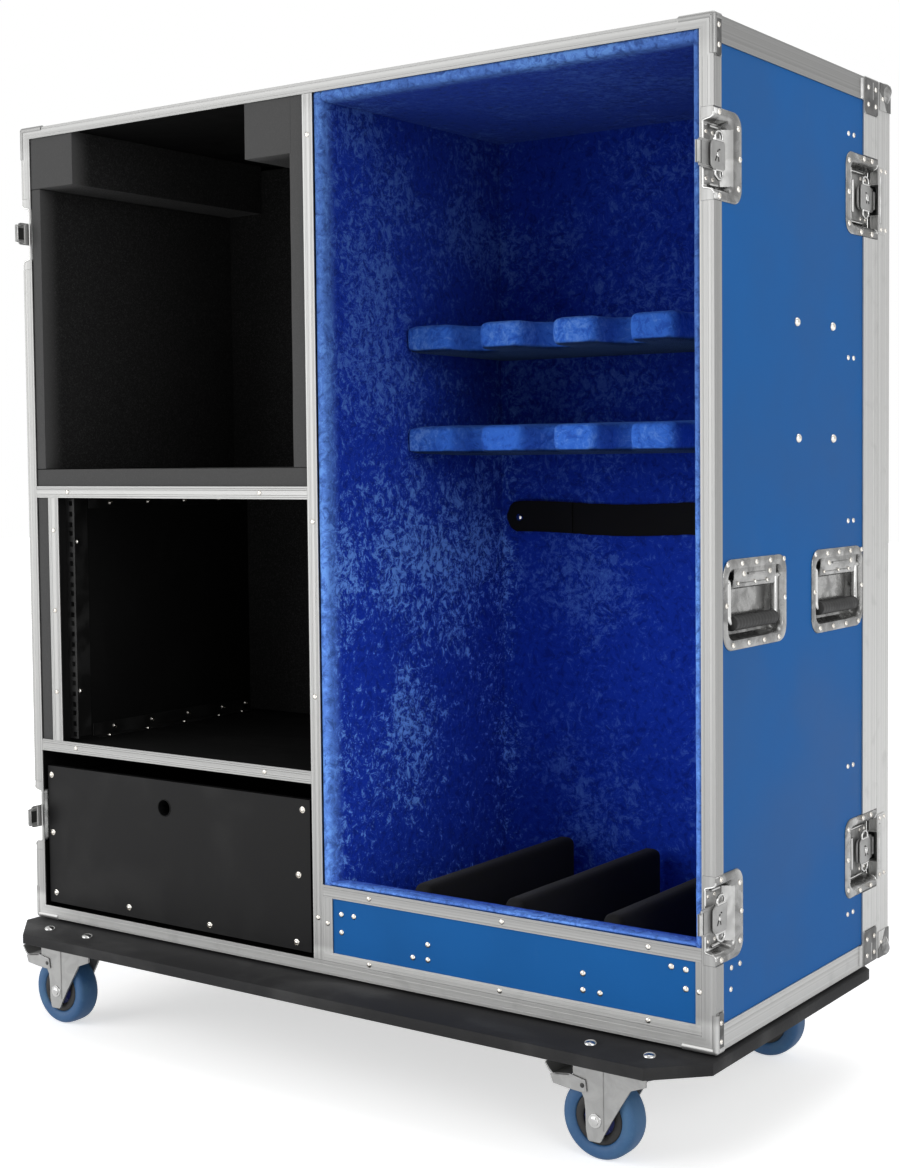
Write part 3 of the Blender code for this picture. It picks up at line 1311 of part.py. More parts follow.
def build_fork(label, swivel):
    """Build one pressed fork with its swivel head, king pin and axle, its origin on the swivel axis."""

    def side_place(t, z, across):
        return (-t, across, z)

    bm = bmesh.new()
    width = LEG_INSIDE + LEG_THICK
    near, far = CROWN_ENDS
    crown_under = CROWN_TOP - CROWN_THICK
    crown = [(far, CROWN_TOP), (far, crown_under), (near, crown_under), (near, CROWN_TOP)]
    add_prism(bm, crown, -width, width, side_place)
    fork = piece(f"castor_fork_{label}", bm, "zinc", swivel)
    legs = bmesh.new()
    for side in (-1, 1):
        add_prism(legs, fork_side_outline(), side * LEG_INSIDE, side * width, side_place)
    head = bmesh.new()
    race_under = CASTOR_HEIGHT - CASTOR_PLATE[2] - RACE_HEIGHT
    pin_top = race_under + RACE_HEIGHT - 2 * GAP

    def upright(p, q, along):
        return (p, q, along)

    radius, edge = KING_PIN_RADIUS, RACE_EDGE
    profile = [(HEAD_RADIUS, CROWN_TOP - CROWN_THICK / 2), (RACE_RADIUS - 4 * edge, CROWN_TOP + 3 * edge)]
    profile += [(RACE_RADIUS - edge, race_under - 4 * edge), (RACE_RADIUS - 2 * edge, race_under - GAP)]
    profile += [(radius, race_under - GAP), (radius, pin_top)]
    add_turned(head, profile, upright, 16)
    axle = bmesh.new()

    def crosswise(p, q, along):
        return (-CASTOR_TRAIL + p, along, WHEEL_RADIUS + q)

    end, seat = width + AXLE_HEAD_THICK, width - LEG_THICK / 3
    profile = [(AXLE_HEAD, -end), (AXLE_HEAD, -seat), (AXLE_RADIUS, -seat)]
    profile += [(AXLE_RADIUS, seat), (AXLE_HEAD, seat), (AXLE_HEAD, end)]
    add_turned(axle, profile, crosswise, 10)
    meshes = (("legs", legs), ("head", head), ("axle", axle))
    combine(fork, "UNION", [piece(f"{name} {label}", mesh, None, swivel) for name, mesh in meshes])
    return fork


def wheel_profile():
    """Return the wheel's section as (radius, across) points, from the bore round the hub, rim and tyre."""
    bore, hub, half = AXLE_RADIUS + GAP, HUB_WIDTH / 2, TYRE_WIDTH / 2
    near = [
        (bore, hub),
        (BOSS_RADIUS, hub),
        (BOSS_ROOT_RADIUS, half - HUB_SINK),
        (RIM_RADIUS, half - HUB_SINK),
        (TYRE_BEAD_RADIUS, half - RIM_EDGE),
        (TYRE_CROWN_RADIUS, half),
        (WHEEL_RADIUS, half - TYRE_CORNER),
    ]
    return near + [(radius, -across) for radius, across in reversed(near)]


def drill_pedal_holes(fork, label, swivel):
    """Cut the holes that a brake pedal's pins turn in out of both legs of a fork."""
    ((t, z),) = below_crown([PEDAL_PIVOT])
    radius = PEDAL_PIN_RADIUS + GAP
    inner, outer = LEG_INSIDE - SKIN, LEG_INSIDE + LEG_THICK + SKIN

    def place(p, q, along):
        return (-t + p, along, z + q)

    holes = bmesh.new()
    for side in (-1, 1):
        add_turned(holes, [(radius, side * inner), (radius, side * outer)], place, 10)
    combine(fork, "DIFFERENCE", [piece(f"pedal holes {label}", holes, None, swivel)])


def build_castors(case):
    """Build the four swivel castors, the front two with brake pedals."""
    for label, x, y, braked in castor_sites():
        swivel = empty(f"castor {label}", castor_place(x, y))
        fork = build_fork(label, swivel)
        if braked:
            drill_pedal_holes(fork, label, swivel)
            build_pedal(label, swivel)
        wheel = bmesh.new()
        add_turned(wheel, wheel_profile(), lambda p, q, along: (p, along, q), 24, closed=True)
        axle_place = (-CASTOR_TRAIL, 0.0, WHEEL_RADIUS)
        piece(f"castor_wheel_{label}", wheel, "tyre", swivel, axle_place, smooth=40)


def build_pedal(label, swivel):
    """Build a brake pedal: two cheeks outside the fork, a bridge over the wheel and a bent foot plate."""
    ((pivot_t, pivot_z),) = below_crown([PEDAL_PIVOT])
    inner = LEG_INSIDE + LEG_THICK + GAP
    outer = inner + PEDAL_THICK

    def side_place(t, z, across):
        return (-(t - pivot_t), across, z - pivot_z)

    def pin_place(p, q, along):
        return (p, along, q)

    pivot = (-pivot_t, 0.0, pivot_z)
    bridge = bmesh.new()
    add_prism(bridge, below_crown(PEDAL_FOOT), -outer, outer, side_place)
    pedal = piece(f"brake_pedal_{label}", bridge, "zinc", swivel, pivot)
    cheeks, pins = bmesh.new(), bmesh.new()
    pin_end = outer - PEDAL_THICK / 2
    for side in (-1, 1):
        add_prism(cheeks, below_crown(PEDAL_CHEEK), side * inner, side * outer, side_place)
        pin = [(PEDAL_PIN_RADIUS, side * LEG_INSIDE), (PEDAL_PIN_RADIUS, side * pin_end)]
        add_turned(pins, pin, pin_place, 10)
    meshes = (("cheeks", cheeks), ("pins", pins))
    combine(pedal, "UNION", [piece(f"{name} {label}", mesh, None, swivel, pivot) for name, mesh in meshes])


def main():
    """Build the whole case."""
    clear_scene()
    case = empty("case", (0.0, CASE_FRONT_Y, CASE_BOTTOM_Z))
    cover = empty("rear cover", (0.0, 0.0, 0.0), case)
    build_panels(case)
    build_extrusions(case)
    build_lining(case)
    build_foam(case)
    build_dividers(case)
    build_neck_rests(case)
    build_strap(case)
    build_rack_rails(case)
    build_drawer(case)
    build_cover(case, cover)
    build_latches(case)
    build_handles(case)
    build_board(case)
    build_castors(case)


main()
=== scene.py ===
"""Looks of a touring case for guitars: finishes, soft goods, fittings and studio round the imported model.

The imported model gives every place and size. Most pieces are drawn in case coordinates, in metres: x from the
middle of the case, y from its front face to the back, z from the underside of its extrusions. A fitting on a
side wall is drawn in (u, v, d): u along the wall, v up from the fitting's own middle, d below the outer face.
"""

from __future__ import annotations

import logging
import math
from collections.abc import Callable, Iterable, Iterator, Sequence
from dataclasses import dataclass
from enum import Enum

import bmesh
import bpy
from mathutils import Matrix, Vector, noise

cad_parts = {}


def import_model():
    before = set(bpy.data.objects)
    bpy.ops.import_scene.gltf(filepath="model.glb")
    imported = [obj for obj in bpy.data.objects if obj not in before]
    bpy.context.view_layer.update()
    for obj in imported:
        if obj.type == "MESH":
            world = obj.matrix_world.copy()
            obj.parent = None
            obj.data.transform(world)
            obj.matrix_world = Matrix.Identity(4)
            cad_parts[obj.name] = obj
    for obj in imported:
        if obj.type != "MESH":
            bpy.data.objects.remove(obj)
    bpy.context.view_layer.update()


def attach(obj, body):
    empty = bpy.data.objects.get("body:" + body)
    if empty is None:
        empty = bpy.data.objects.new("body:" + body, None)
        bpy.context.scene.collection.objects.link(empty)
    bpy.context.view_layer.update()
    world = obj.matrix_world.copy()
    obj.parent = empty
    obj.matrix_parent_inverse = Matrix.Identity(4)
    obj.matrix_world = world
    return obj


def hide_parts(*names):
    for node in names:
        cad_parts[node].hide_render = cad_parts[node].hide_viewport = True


LOG = logging.getLogger("case")

Colour = tuple[float, float, float, float]
Point = Sequence[float]
Outline = list[tuple[float, float]]
Place = Callable[[float, float, float], Point]

# The case's own sizes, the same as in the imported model
CASE_FRONT_Y = -0.21845
CASE_BOTTOM_Z = 0.1495
HALF_WIDTH = 0.570
HEIGHT = 1.170
BODY_DEPTH = 0.467
CASE_BACK = 0.507
SKIN = 0.0015
GAP = 0.0003
PANEL_OUT = 0.0018
INSIDE = 0.5587
WALL_LEFT = -0.0244
WALL_RIGHT = -0.0124
AMP_SHELF_TOP = 0.643
RACK_SHELF_TOP = 0.2662
INNER_PLY = 0.012
PLY = 0.0095
FLOOR_TOP = 0.0113
CEILING = 1.1587
BAY_LEFT = 0.0044
BAY_RIGHT = 0.5419
BAY_FLOOR = 0.0281
BAY_CEILING = 1.1419
LINING_FACE_Y = 0.409
DISH_CLEAR = 0.5523
PARTITION_LEFT = -0.5217
PARTITION_RIGHT = -0.5097
SIDES = {"left": -1, "right": 1}
LATCH_LEVELS = {"top": 1.0166, "bottom": 0.152}
HANDLE_ENDS = {"front": 0.1048, "rear": 0.344}
HANDLE_Z = 0.5095


class Slot(Enum):
    """The record's material slots."""

    LAMINATE = "laminate_blue"
    BOARD = "board_black"
    ALUMINIUM = "aluminium"
    PLUSH = "plush_blue"
    FOAM = "foam_grey"
    DIVIDER = "divider_black"
    WEBBING = "webbing_black"
    RACK = "rack_black"
    BRIGHT = "steel_bright"
    ZINC = "steel_zinc"
    TYRE = "tyre_blue"


class Run(Enum):
    """The way in which the drawn lines of an extrusion run."""

    ALONG_X = "x"
    ALONG_Z = "z"
    ROUND_CASE = "round"


def linear(red: int, green: int, blue: int) -> Colour:
    """Turn an 8-bit screen colour into the linear colour that a shader takes.

    Args:
        red, green, blue: The screen colour, 0 to 255.

    Returns:
        The linear colour with a full alpha.
    """
    parts = []
    for level in (red, green, blue):
        share = level / 255
        parts.append(share / 12.92 if share <= 0.04045 else ((share + 0.055) / 1.055) ** 2.4)
    return (parts[0], parts[1], parts[2], 1.0)


def grey(level: float) -> Colour:
    """Return a faintly warm linear grey."""
    return (level, level, level * 0.985, 1.0)


def dyed(colour: Colour, share: float, lift: float = 0.0) -> Colour:
    """Return a colour with each channel multiplied by a share and raised by a lift."""
    return tuple(min(1.0, c * share + lift) for c in colour[:3]) + (1.0,)


class NodeGraph:
    """The shader nodes of one material, added in few words."""

    def __init__(self, name: str) -> None:
        """Make the material with its Principled shader."""
        self.material = bpy.data.materials.new(name)
        self.material.use_nodes = True
        self.tree = self.material.node_tree
        self.shader = self.tree.nodes["Principled BSDF"]
        self.where = self.add("ShaderNodeTexCoord").outputs["Object"]

    def add(self, kind: str, inputs: dict | None = None, **settings: object) -> bpy.types.Node:
        """Add a node.

        Args:
            kind: The node's type.
            inputs: Its inputs by name or number, each a value or another node's output.
            settings: Its own properties.

        Returns:
            The node.
        """
        node = self.tree.nodes.new(kind)
        for key, value in settings.items():
            setattr(node, key, value)
        for key, value in (inputs or {}).items():
            self.feed(node.inputs[key], value)
        return node

    def feed(self, socket: bpy.types.NodeSocket, value: object) -> None:
        """Link or set one input."""
        if isinstance(value, bpy.types.NodeSocket):
            self.tree.links.new(value, socket)
        else:
            socket.default_value = value

    def shade(self, **inputs: object) -> None:
        """Set inputs of the shader, their spaces written as underscores."""
        for key, value in inputs.items():
            self.feed(self.shader.inputs[key.replace("_", " ")], value)

    def scaled(self, scale: Point, turn: Point = (0, 0, 0)) -> object:
        """Return the object's coordinates, scaled and turned."""
        inputs = {"Vector": self.where, "Scale": scale, "Rotation": turn}
        return self.add("ShaderNodeMapping", inputs).outputs["Vector"]

    def noise(self, scale: float, detail: float = 3.0, vector: object = None, **inputs: float) -> object:
        """Return a noise value, 0 to 1."""
        values = {"Vector": vector or self.where, "Scale": scale, "Detail": detail, **inputs}
        return self.add("ShaderNodeTexNoise", values).outputs["Fac"]

    def maths(self, operation: str, first: object, second: object = 0.0, clamp: bool = False) -> object:
        """Return the result of a sum of two values."""
        node = self.add("ShaderNodeMath", {0: first, 1: second}, operation=operation, use_clamp=clamp)
        return node.outputs[0]

    def spread(
        self, value: object, low: float, high: float, to_low: float = 0.0, to_high: float = 1.0
    ) -> object:
        """Return a value spread from one range to another, smoothly and held at its ends."""
        inputs = {"Value": value, "From Min": low, "From Max": high, "To Min": to_low, "To Max": to_high}
        return self.add("ShaderNodeMapRange", inputs, interpolation_type="SMOOTHSTEP").outputs["Result"]

    def mixed(self, factor: object, first: object, second: object, mode: str = "MIX") -> object:
        """Return a mix of two colours."""
        node = self.add("ShaderNodeMix", data_type="RGBA", blend_type=mode)
        for key, value in ((0, factor), (6, first), (7, second)):
            self.feed(node.inputs[key], value)
        return node.outputs[2]

    def plus(self, first: object, second: object, clamp: bool = False) -> object:
        """Return the sum of two values."""
        return self.maths("ADD", first, second, clamp)

    def times(self, first: object, second: object) -> object:
        """Return the product of two values."""
        return self.maths("MULTIPLY", first, second)

    def axis(self, index: int, vector: object = None) -> object:
        """Return one coordinate of a vector, or of the object's own place."""
        return self.add("ShaderNodeSeparateXYZ", {0: vector or self.where}).outputs[index]

    def joined(self, x: object, y: object, z: object = 0.0) -> object:
        """Return a vector made of values."""
        return self.add("ShaderNodeCombineXYZ", {0: x, 1: y, 2: z}).outputs[0]

    def toned(self, colour: object, level: object) -> object:
        """Return a colour multiplied by a value."""
        return self.mixed(1.0, colour, self.joined(level, level, level), "MULTIPLY")

    def underside_shade(self, below: float) -> object:
        """Return a painted underside shade: 1 where a surface faces up and a given level where it faces down.
        """
        normal = self.add("ShaderNodeNewGeometry").outputs["Normal"]
        return self.spread(self.axis(2, normal), -0.85, -0.30, below, 1.0)

    def bump(self, height: object, distance: float, strength: float = 1.0, normal: object = None) -> object:
        """Return a normal bent by a height."""
        inputs = {"Height": height, "Distance": distance, "Strength": strength}
        if normal is not None:
            inputs["Normal"] = normal
        return self.add("ShaderNodeBump", inputs).outputs["Normal"]


@dataclass(frozen=True)
class Finish:
    """A surface finish, made once and shared by every piece that has it."""

    name: str
    slot: Slot

    def paint(self, graph: NodeGraph) -> None:
        """Add this finish's nodes."""
        raise NotImplementedError

    def material(self) -> bpy.types.Material:
        """Return the finish's material, made the first time that it is asked for."""
        found = bpy.data.materials.get(self.name)
        if found is None:
            graph = NodeGraph(self.name)
            self.paint(graph)
            found = graph.material
        return found


@dataclass(frozen=True)
class Laminate(Finish):
    """Coloured phenolic sheet with a fine pressed texture and faint scuffs."""

    colour: Colour

    def paint(self, graph: NodeGraph) -> None:
        """Add a pebbled bump, slow shifts of tone and a few hairline scuffs."""
        cells = graph.add("ShaderNodeTexVoronoi", {"Vector": graph.where, "Scale": 900.0, "Randomness": 0.7})
        fine = graph.noise(1400.0, 2.0)
        height = graph.plus(cells.outputs["Distance"], fine)
        slow = graph.spread(graph.noise(4.0, 4.0), 0.3, 0.7)
        rubbed = graph.noise(18.0, 8.0, graph.scaled((1.0, 1.0, 0.35)), Distortion=0.6)
        scuff = graph.spread(rubbed, 0.62, 0.72)
        toned = graph.mixed(slow, dyed(self.colour, 0.90), dyed(self.colour, 1.08))
        graph.shade(
            Base_Color=graph.mixed(graph.times(scuff, 0.16), toned, dyed(self.colour, 0.9, 0.03)),
            Roughness=graph.spread(slow, 0.0, 1.0, 0.40, 0.50),
            Normal=graph.bump(height, 0.00012, 0.55),
            Specular_IOR_Level=0.05,
        )


@dataclass(frozen=True)
class PaintedBoard(Finish):
    """Dark painted or laminated plywood with a grained surface and dusty rubbed patches."""

    colour: Colour
    rubbed: Colour
    roughness: float = 0.62
    grain: float = 0.0004

    def paint(self, graph: NodeGraph) -> None:
        """Add a grainy bump, rubbed tone and speckle."""
        pebble = graph.noise(420.0, 4.0, Roughness=0.65)
        rub = graph.spread(graph.noise(7.0, 6.0, graph.scaled((1.0, 1.6, 1.0)), Distortion=0.5), 0.42, 0.72)
        speck = graph.spread(graph.noise(900.0, 1.0), 0.66, 0.78)
        toned = graph.mixed(graph.times(rub, 0.55), self.colour, self.rubbed)
        graph.shade(
            Base_Color=graph.mixed(graph.times(speck, 0.35), toned, self.rubbed),
            Roughness=graph.spread(rub, 0.0, 1.0, self.roughness, self.roughness - 0.12),
            Normal=graph.bump(pebble, self.grain, 0.5),
            Specular_IOR_Level=0.12,
        )


@dataclass(frozen=True)
class DrawnAluminium(Finish):
    """Satin anodised extrusion with fine lines along its length."""

    colour: Colour
    run: Run
    roughness: float = 0.42
    metallic: float = 0.75

    def across(self, graph: NodeGraph) -> object:
        """Return a vector that stays the same along the extrusion and changes across it."""
        x, y, z = (graph.axis(i) for i in range(3))
        if self.run is Run.ALONG_X:
            return graph.joined(y, z)
        if self.run is Run.ALONG_Z:
            return graph.joined(x, y)
        middle = CASE_BOTTOM_Z + HEIGHT / 2
        from_side = graph.maths("SUBTRACT", HALF_WIDTH, graph.maths("ABSOLUTE", x))
        above = graph.maths("ABSOLUTE", graph.maths("SUBTRACT", z, middle))
        from_end = graph.maths("SUBTRACT", HEIGHT / 2, above)
        edge = graph.maths("MINIMUM", from_side, from_end)
        past_frame = graph.maths("GREATER_THAN", y, CASE_FRONT_Y + 0.0192)
        before_band = graph.maths("LESS_THAN", y, CASE_FRONT_Y + BODY_DEPTH - 0.0472)
        between = graph.times(past_frame, before_band)
        return graph.mixed(between, graph.joined(edge, y), graph.joined(from_side, from_end))

    def painted_light_tone(self, graph: NodeGraph) -> object:
        """Return painted light and shade along the lengths: paler at the parting band, the cover and the
        bottom, darker along the top.
        """
        height = graph.axis(2)
        rear = graph.spread(graph.axis(1), CASE_FRONT_Y + 0.412, CASE_FRONT_Y + 0.424, 1.0, 1.65)
        low = graph.spread(height, CASE_BOTTOM_Z + 0.030, CASE_BOTTOM_Z + 0.040, 1.45, 1.0)
        high = graph.spread(height, CASE_BOTTOM_Z + 1.12, CASE_BOTTOM_Z + 1.15, 1.0, 0.85)
        return graph.times(graph.maths("MAXIMUM", rear, low), high)

    def paint(self, graph: NodeGraph) -> None:
        """Add drawn lines, handling marks, a slow shift of tone and painted light and shade along some
        lengths.
        """
        across = self.across(graph)
        lines = graph.noise(1500.0, 3.0, across)
        broad = graph.noise(260.0, 2.0, across)
        marks = graph.spread(graph.noise(35.0, 6.0, Distortion=0.4), 0.55, 0.75)
        deep = dyed(self.colour, 0.84)
        streaked = graph.mixed(graph.spread(broad, 0.3, 0.7), deep, dyed(self.colour, 1.06))
        # Painted light and shade: some lengths are paler and the top is darker.
        streaked = graph.toned(streaked, self.painted_light_tone(graph))
        height = graph.plus(lines, graph.times(broad, 2.0))
        graph.shade(
            Base_Color=graph.mixed(graph.times(marks, 0.25), streaked, deep),
            Metallic=self.metallic,
            Specular_IOR_Level=0.2,
            Roughness=graph.spread(lines, 0.2, 0.8, self.roughness - 0.06, self.roughness + 0.08),
            Normal=graph.bump(height, 0.00010, 0.5),
        )


@dataclass(frozen=True)
class PlatedSteel(Finish):
    """Pressed steel under a bright or a zinc plating, a little uneven from the press."""

    colour: Colour
    roughness: float
    tint: Colour
    clouds: float = 0.5
    dents: float = 0.0003
    metallic: float = 1.0
    # under: the level of painted shade on faces that look down; 1 paints none.
    under: float = 1.0

    def paint(self, graph: NodeGraph) -> None:
        """Add clouded tone, press marks, fine grain and painted shade on the underside."""
        cloud = graph.spread(graph.noise(45.0, 5.0, Distortion=0.8), 0.35, 0.68)
        press = graph.noise(95.0, 2.0)
        grain = graph.noise(2200.0, 2.0)
        height = graph.plus(press, graph.times(grain, 0.06))
        clouded = graph.mixed(graph.times(cloud, self.clouds), self.colour, self.tint)
        graph.shade(
            Base_Color=graph.toned(clouded, graph.underside_shade(self.under)),
            Metallic=self.metallic,
            Specular_IOR_Level=0.2,
            Roughness=graph.spread(cloud, 0.0, 1.0, self.roughness, self.roughness + 0.09),
            Normal=graph.bump(height, self.dents, 0.5),
        )


@dataclass(frozen=True)
class CrushedPlush(Finish):
    """Crushed pile fabric: patches of pile lie flat or stand, so that they shine or go dark."""

    deep: Colour
    body: Colour
    bright: Colour
    crush: float = 1.0
    # under: the level of painted shade on faces that look down; 1 paints none.
    under: float = 1.0

    def paint(self, graph: NodeGraph) -> None:
        """Add crush marks in two sizes, flecks of turned pile and the pile's own grain, with painted light low
        in the bay and round its front edges and painted shade on faces that look down.
        """
        bent = self.pulled(graph)
        crushed = graph.noise(88.0, 8.0, bent, Roughness=0.70, Distortion=0.5)
        patches = graph.noise(5.0, 4.0, bent)
        flecks = graph.noise(230.0, 5.0, bent, Roughness=0.78, Distortion=0.6)
        pile = graph.noise(1300.0, 3.0)
        drift = graph.spread(patches, 0.36, 0.66, -0.06, 0.05)
        # The first mask is pile crush plus painted light; rubbed holds painted light along the front edges.
        crush_and_light, rubbed = self.crush_and_painted_light(graph), graph.times(self.lit_front_edge(graph), 0.62)
        lay = graph.spread(graph.plus(crushed, drift), 0.51, 0.62)
        fleck = graph.spread(graph.plus(flecks, drift), 0.54, 0.62)
        shadow = graph.spread(crushed, 0.36, 0.52, 1.0, 0.0)
        lit = graph.mixed(rubbed, self.body, self.bright)
        toned = graph.mixed(graph.times(lay, crush_and_light), lit, self.bright)
        flecked = graph.mixed(graph.times(fleck, crush_and_light), toned, self.bright)
        shaded = graph.mixed(graph.times(shadow, 0.5), flecked, self.deep)
        height = graph.plus(graph.times(crushed, 5.0), graph.times(flecks, 2.0))
        soft = graph.bump(height, 0.0009, 0.6)
        piled = graph.mixed(graph.times(pile, 0.30), shaded, self.deep)
        # The base colour is multiplied by painted light low in the bay and painted shade on downward faces.
        graph.shade(
            Base_Color=graph.toned(graph.toned(piled, self.lit_low_in_bay(graph)), graph.underside_shade(self.under)),
            Roughness=0.88,
            Specular_IOR_Level=0.10,
            Sheen_Weight=0.15,
            Sheen_Roughness=0.35,
            Sheen_Tint=(0.25, 0.5, 1.0, 1.0),
            Normal=graph.bump(pile, 0.0006, 0.5, soft),
        )

    @staticmethod
    def pulled(graph: NodeGraph) -> object:
        """Return the object's coordinates, pulled about a little so that no mark lies straight."""

        def vectors(operation: str, inputs: dict) -> object:
            """Return what a vector sum makes of its inputs."""
            return graph.add("ShaderNodeVectorMath", inputs, operation=operation).outputs[0]

        warp = graph.add("ShaderNodeTexNoise", {"Vector": graph.where, "Scale": 22.0, "Detail": 3.0})
        push = vectors("SUBTRACT", {0: warp.outputs["Color"], 1: (0.5, 0.5, 0.5)})
        return vectors("ADD", {0: graph.where, 1: vectors("SCALE", {0: push, "Scale": 0.03})})

    def crush_and_painted_light(self, graph: NodeGraph) -> object:
        """Return how crushed the pile is, with painted light added: most on the lower part of the bay's left
        wall and round its front edges.
        """
        # Painted light on the lower part of the bay's left wall.
        near_wall = graph.spread(graph.axis(0), 0.01, 0.05, 1.0, 0.0)
        low = graph.spread(graph.axis(2), 0.60, 1.00, 1.0, 0.18)
        strong = graph.times(graph.times(near_wall, low), 0.78)
        edge = graph.maths("MAXIMUM", strong, graph.times(self.lit_front_edge(graph), 0.75))
        return graph.plus(edge, 0.22 * self.crush, clamp=True)

    @staticmethod
    def lit_low_in_bay(graph: NodeGraph) -> object:
        """Return painted light and shade: a tone that is paler low in the bay than at its top."""
        return graph.spread(graph.axis(2), 0.45, 1.15, 1.27, 0.78)

    @staticmethod
    def lit_front_edge(graph: NodeGraph) -> object:
        """Return painted light: 1 along the edges at the front of the case and 0 farther in."""
        return graph.spread(graph.axis(1), CASE_FRONT_Y + 0.006, CASE_FRONT_Y + 0.032, 1.0, 0.0)


@dataclass(frozen=True)
class Felt(Finish):
    """Foam faced with short dark felt: matt, speckled and slightly lumpy."""

    colour: Colour
    fibre: Colour
    # dusted: how pale the painted light on the faces at the front of the case is.
    dusted: float = 0.0

    def paint(self, graph: NodeGraph) -> None:
        """Add fibres, speckle and soft lumps, and painted light on the faces at the front of the case."""
        fibres = graph.noise(800.0, 5.0, Roughness=0.75)
        speck = graph.spread(graph.noise(430.0, 4.0, Distortion=1.5), 0.48, 0.66)
        lumps = graph.noise(40.0, 4.0)
        height = graph.plus(fibres, graph.times(lumps, 1.5))
        front_light = graph.spread(graph.axis(1), CASE_FRONT_Y + 0.003, CASE_FRONT_Y + 0.040, 1.0, 0.0)
        felt = graph.mixed(graph.times(speck, 0.8), self.colour, self.fibre)
        # dust is the pale colour of the painted light at the front of the case.
        dust = (self.dusted, self.dusted, self.dusted, 1.0)
        graph.shade(
            Base_Color=graph.mixed(graph.times(front_light, 0.62), felt, dust),
            Roughness=0.95,
            Specular_IOR_Level=0.15,
            Sheen_Weight=0.05,
            Sheen_Roughness=0.6,
            Normal=graph.bump(height, 0.0007, 0.6),
        )


@dataclass(frozen=True)
class WovenWebbing(Finish):
    """Black woven strap with a diagonal rib."""

    colour: Colour
    thread: Colour

    def paint(self, graph: NodeGraph) -> None:
        """Add two sets of crossing threads."""
        turned = graph.scaled((1.0, 1.0, 1.0), (0.0, math.radians(45), 0.0))
        inputs = {"Vector": turned, "Scale": 260.0, "Distortion": 0.6, "Detail": 1.0}
        over = graph.add("ShaderNodeTexWave", inputs, bands_direction="X").outputs["Fac"]
        under = graph.add("ShaderNodeTexWave", inputs, bands_direction="Z").outputs["Fac"]
        weave = graph.times(over, under)
        fuzz = graph.noise(1500.0, 3.0)
        height = graph.plus(weave, graph.times(fuzz, 0.5))
        graph.shade(
            Base_Color=graph.mixed(weave, self.colour, self.thread),
            Roughness=0.82,
            Specular_IOR_Level=0.15,
            Sheen_Weight=0.03,
            Normal=graph.bump(height, 0.0005, 0.7),
        )


@dataclass(frozen=True)
class Moulded(Finish):
    """Moulded rubber or plastic with dust in its grain."""

    colour: Colour
    dusty: Colour
    roughness: float = 0.55
    grain: float = 0.0002

    def paint(self, graph: NodeGraph) -> None:
        """Add dusting and a fine grain."""
        dust = graph.spread(graph.noise(24.0, 6.0, Distortion=0.7), 0.40, 0.72)
        fine = graph.noise(700.0, 4.0)
        speck = graph.spread(graph.noise(260.0, 4.0), 0.60, 0.72)
        dusted = graph.mixed(graph.times(dust, 0.6), self.colour, self.dusty)
        graph.shade(
            Base_Color=graph.mixed(graph.times(speck, 0.25), dusted, self.dusty),
            Roughness=graph.spread(dust, 0.0, 1.0, self.roughness, self.roughness + 0.15),
            Normal=graph.bump(fine, self.grain, 0.5),
        )


LAMINATE = Laminate("blue_laminate", Slot.LAMINATE, linear(27, 92, 158))
BOARD = PaintedBoard("black_board", Slot.BOARD, linear(13, 13, 13), linear(26, 26, 26))
DECK = PaintedBoard("castor_board_paint", Slot.BOARD, linear(40, 40, 41), linear(66, 66, 66), 0.66, 0.0006)
DRAWER_BLACK = PaintedBoard(
    "drawer_laminate", Slot.BOARD, linear(15, 15, 16), linear(30, 30, 30), 0.5, 0.0003
)
FRAME_METAL = DrawnAluminium("frame_aluminium", Slot.ALUMINIUM, grey(0.31), Run.ROUND_CASE)
RAIL_METAL = DrawnAluminium("rail_aluminium", Slot.ALUMINIUM, grey(0.31), Run.ALONG_X)
POST_METAL = DrawnAluminium("post_aluminium", Slot.ALUMINIUM, grey(0.31), Run.ALONG_Z)
ZINC = PlatedSteel("zinc_plate", Slot.ZINC, grey(0.34), 0.34, grey(0.24), metallic=0.4)
BRACE_ZINC = PlatedSteel("brace_zinc", Slot.ZINC, grey(0.11), 0.30, grey(0.05), 0.9, 0.0005, 0.7)
FORK_ZINC = PlatedSteel("fork_zinc", Slot.ZINC, grey(0.34), 0.42, grey(0.24), 0.4, 0.0002, 0.7)
DISH_PLATE = PlatedSteel("dish_plate", Slot.BRIGHT, grey(0.29), 0.20, grey(0.14), 0.9, 0.0007, 0.8)
# Painted highlight: plated steel drawn paler, for faces that catch the lamps.
PAINTED_HIGHLIGHT = PlatedSteel("bright_wall", Slot.BRIGHT, grey(0.60), 0.30, grey(0.40), 0.8, 0.0004, 0.4)
PAN_FLOOR = PlatedSteel("pan_floor", Slot.BRIGHT, grey(0.36), 0.36, grey(0.14), 0.9, 0.0004, 0.35)
# CHROME and BALL_CHROME end with the level of painted shade on faces that look down.
CHROME = PlatedSteel("chrome", Slot.BRIGHT, grey(0.50), 0.08, grey(0.36), 0.3, 0.00006, 1.0, 0.35)
BALL_CHROME = PlatedSteel("ball_chrome", Slot.BRIGHT, grey(0.34), 0.12, grey(0.09), 0.9, 0.0004, 0.9, 0.12)
NICKEL, WORN_NICKEL = (0.66, 0.64, 0.60, 1.0), (0.42, 0.38, 0.33, 1.0)
RIVET_METAL = PlatedSteel("rivet_nickel", Slot.BRIGHT, NICKEL, 0.14, WORN_NICKEL, 0.4, 0.00008)
PLUSH = CrushedPlush(
    "blue_plush", Slot.PLUSH, linear(6, 18, 90), linear(20, 55, 176), linear(114, 166, 246)
)
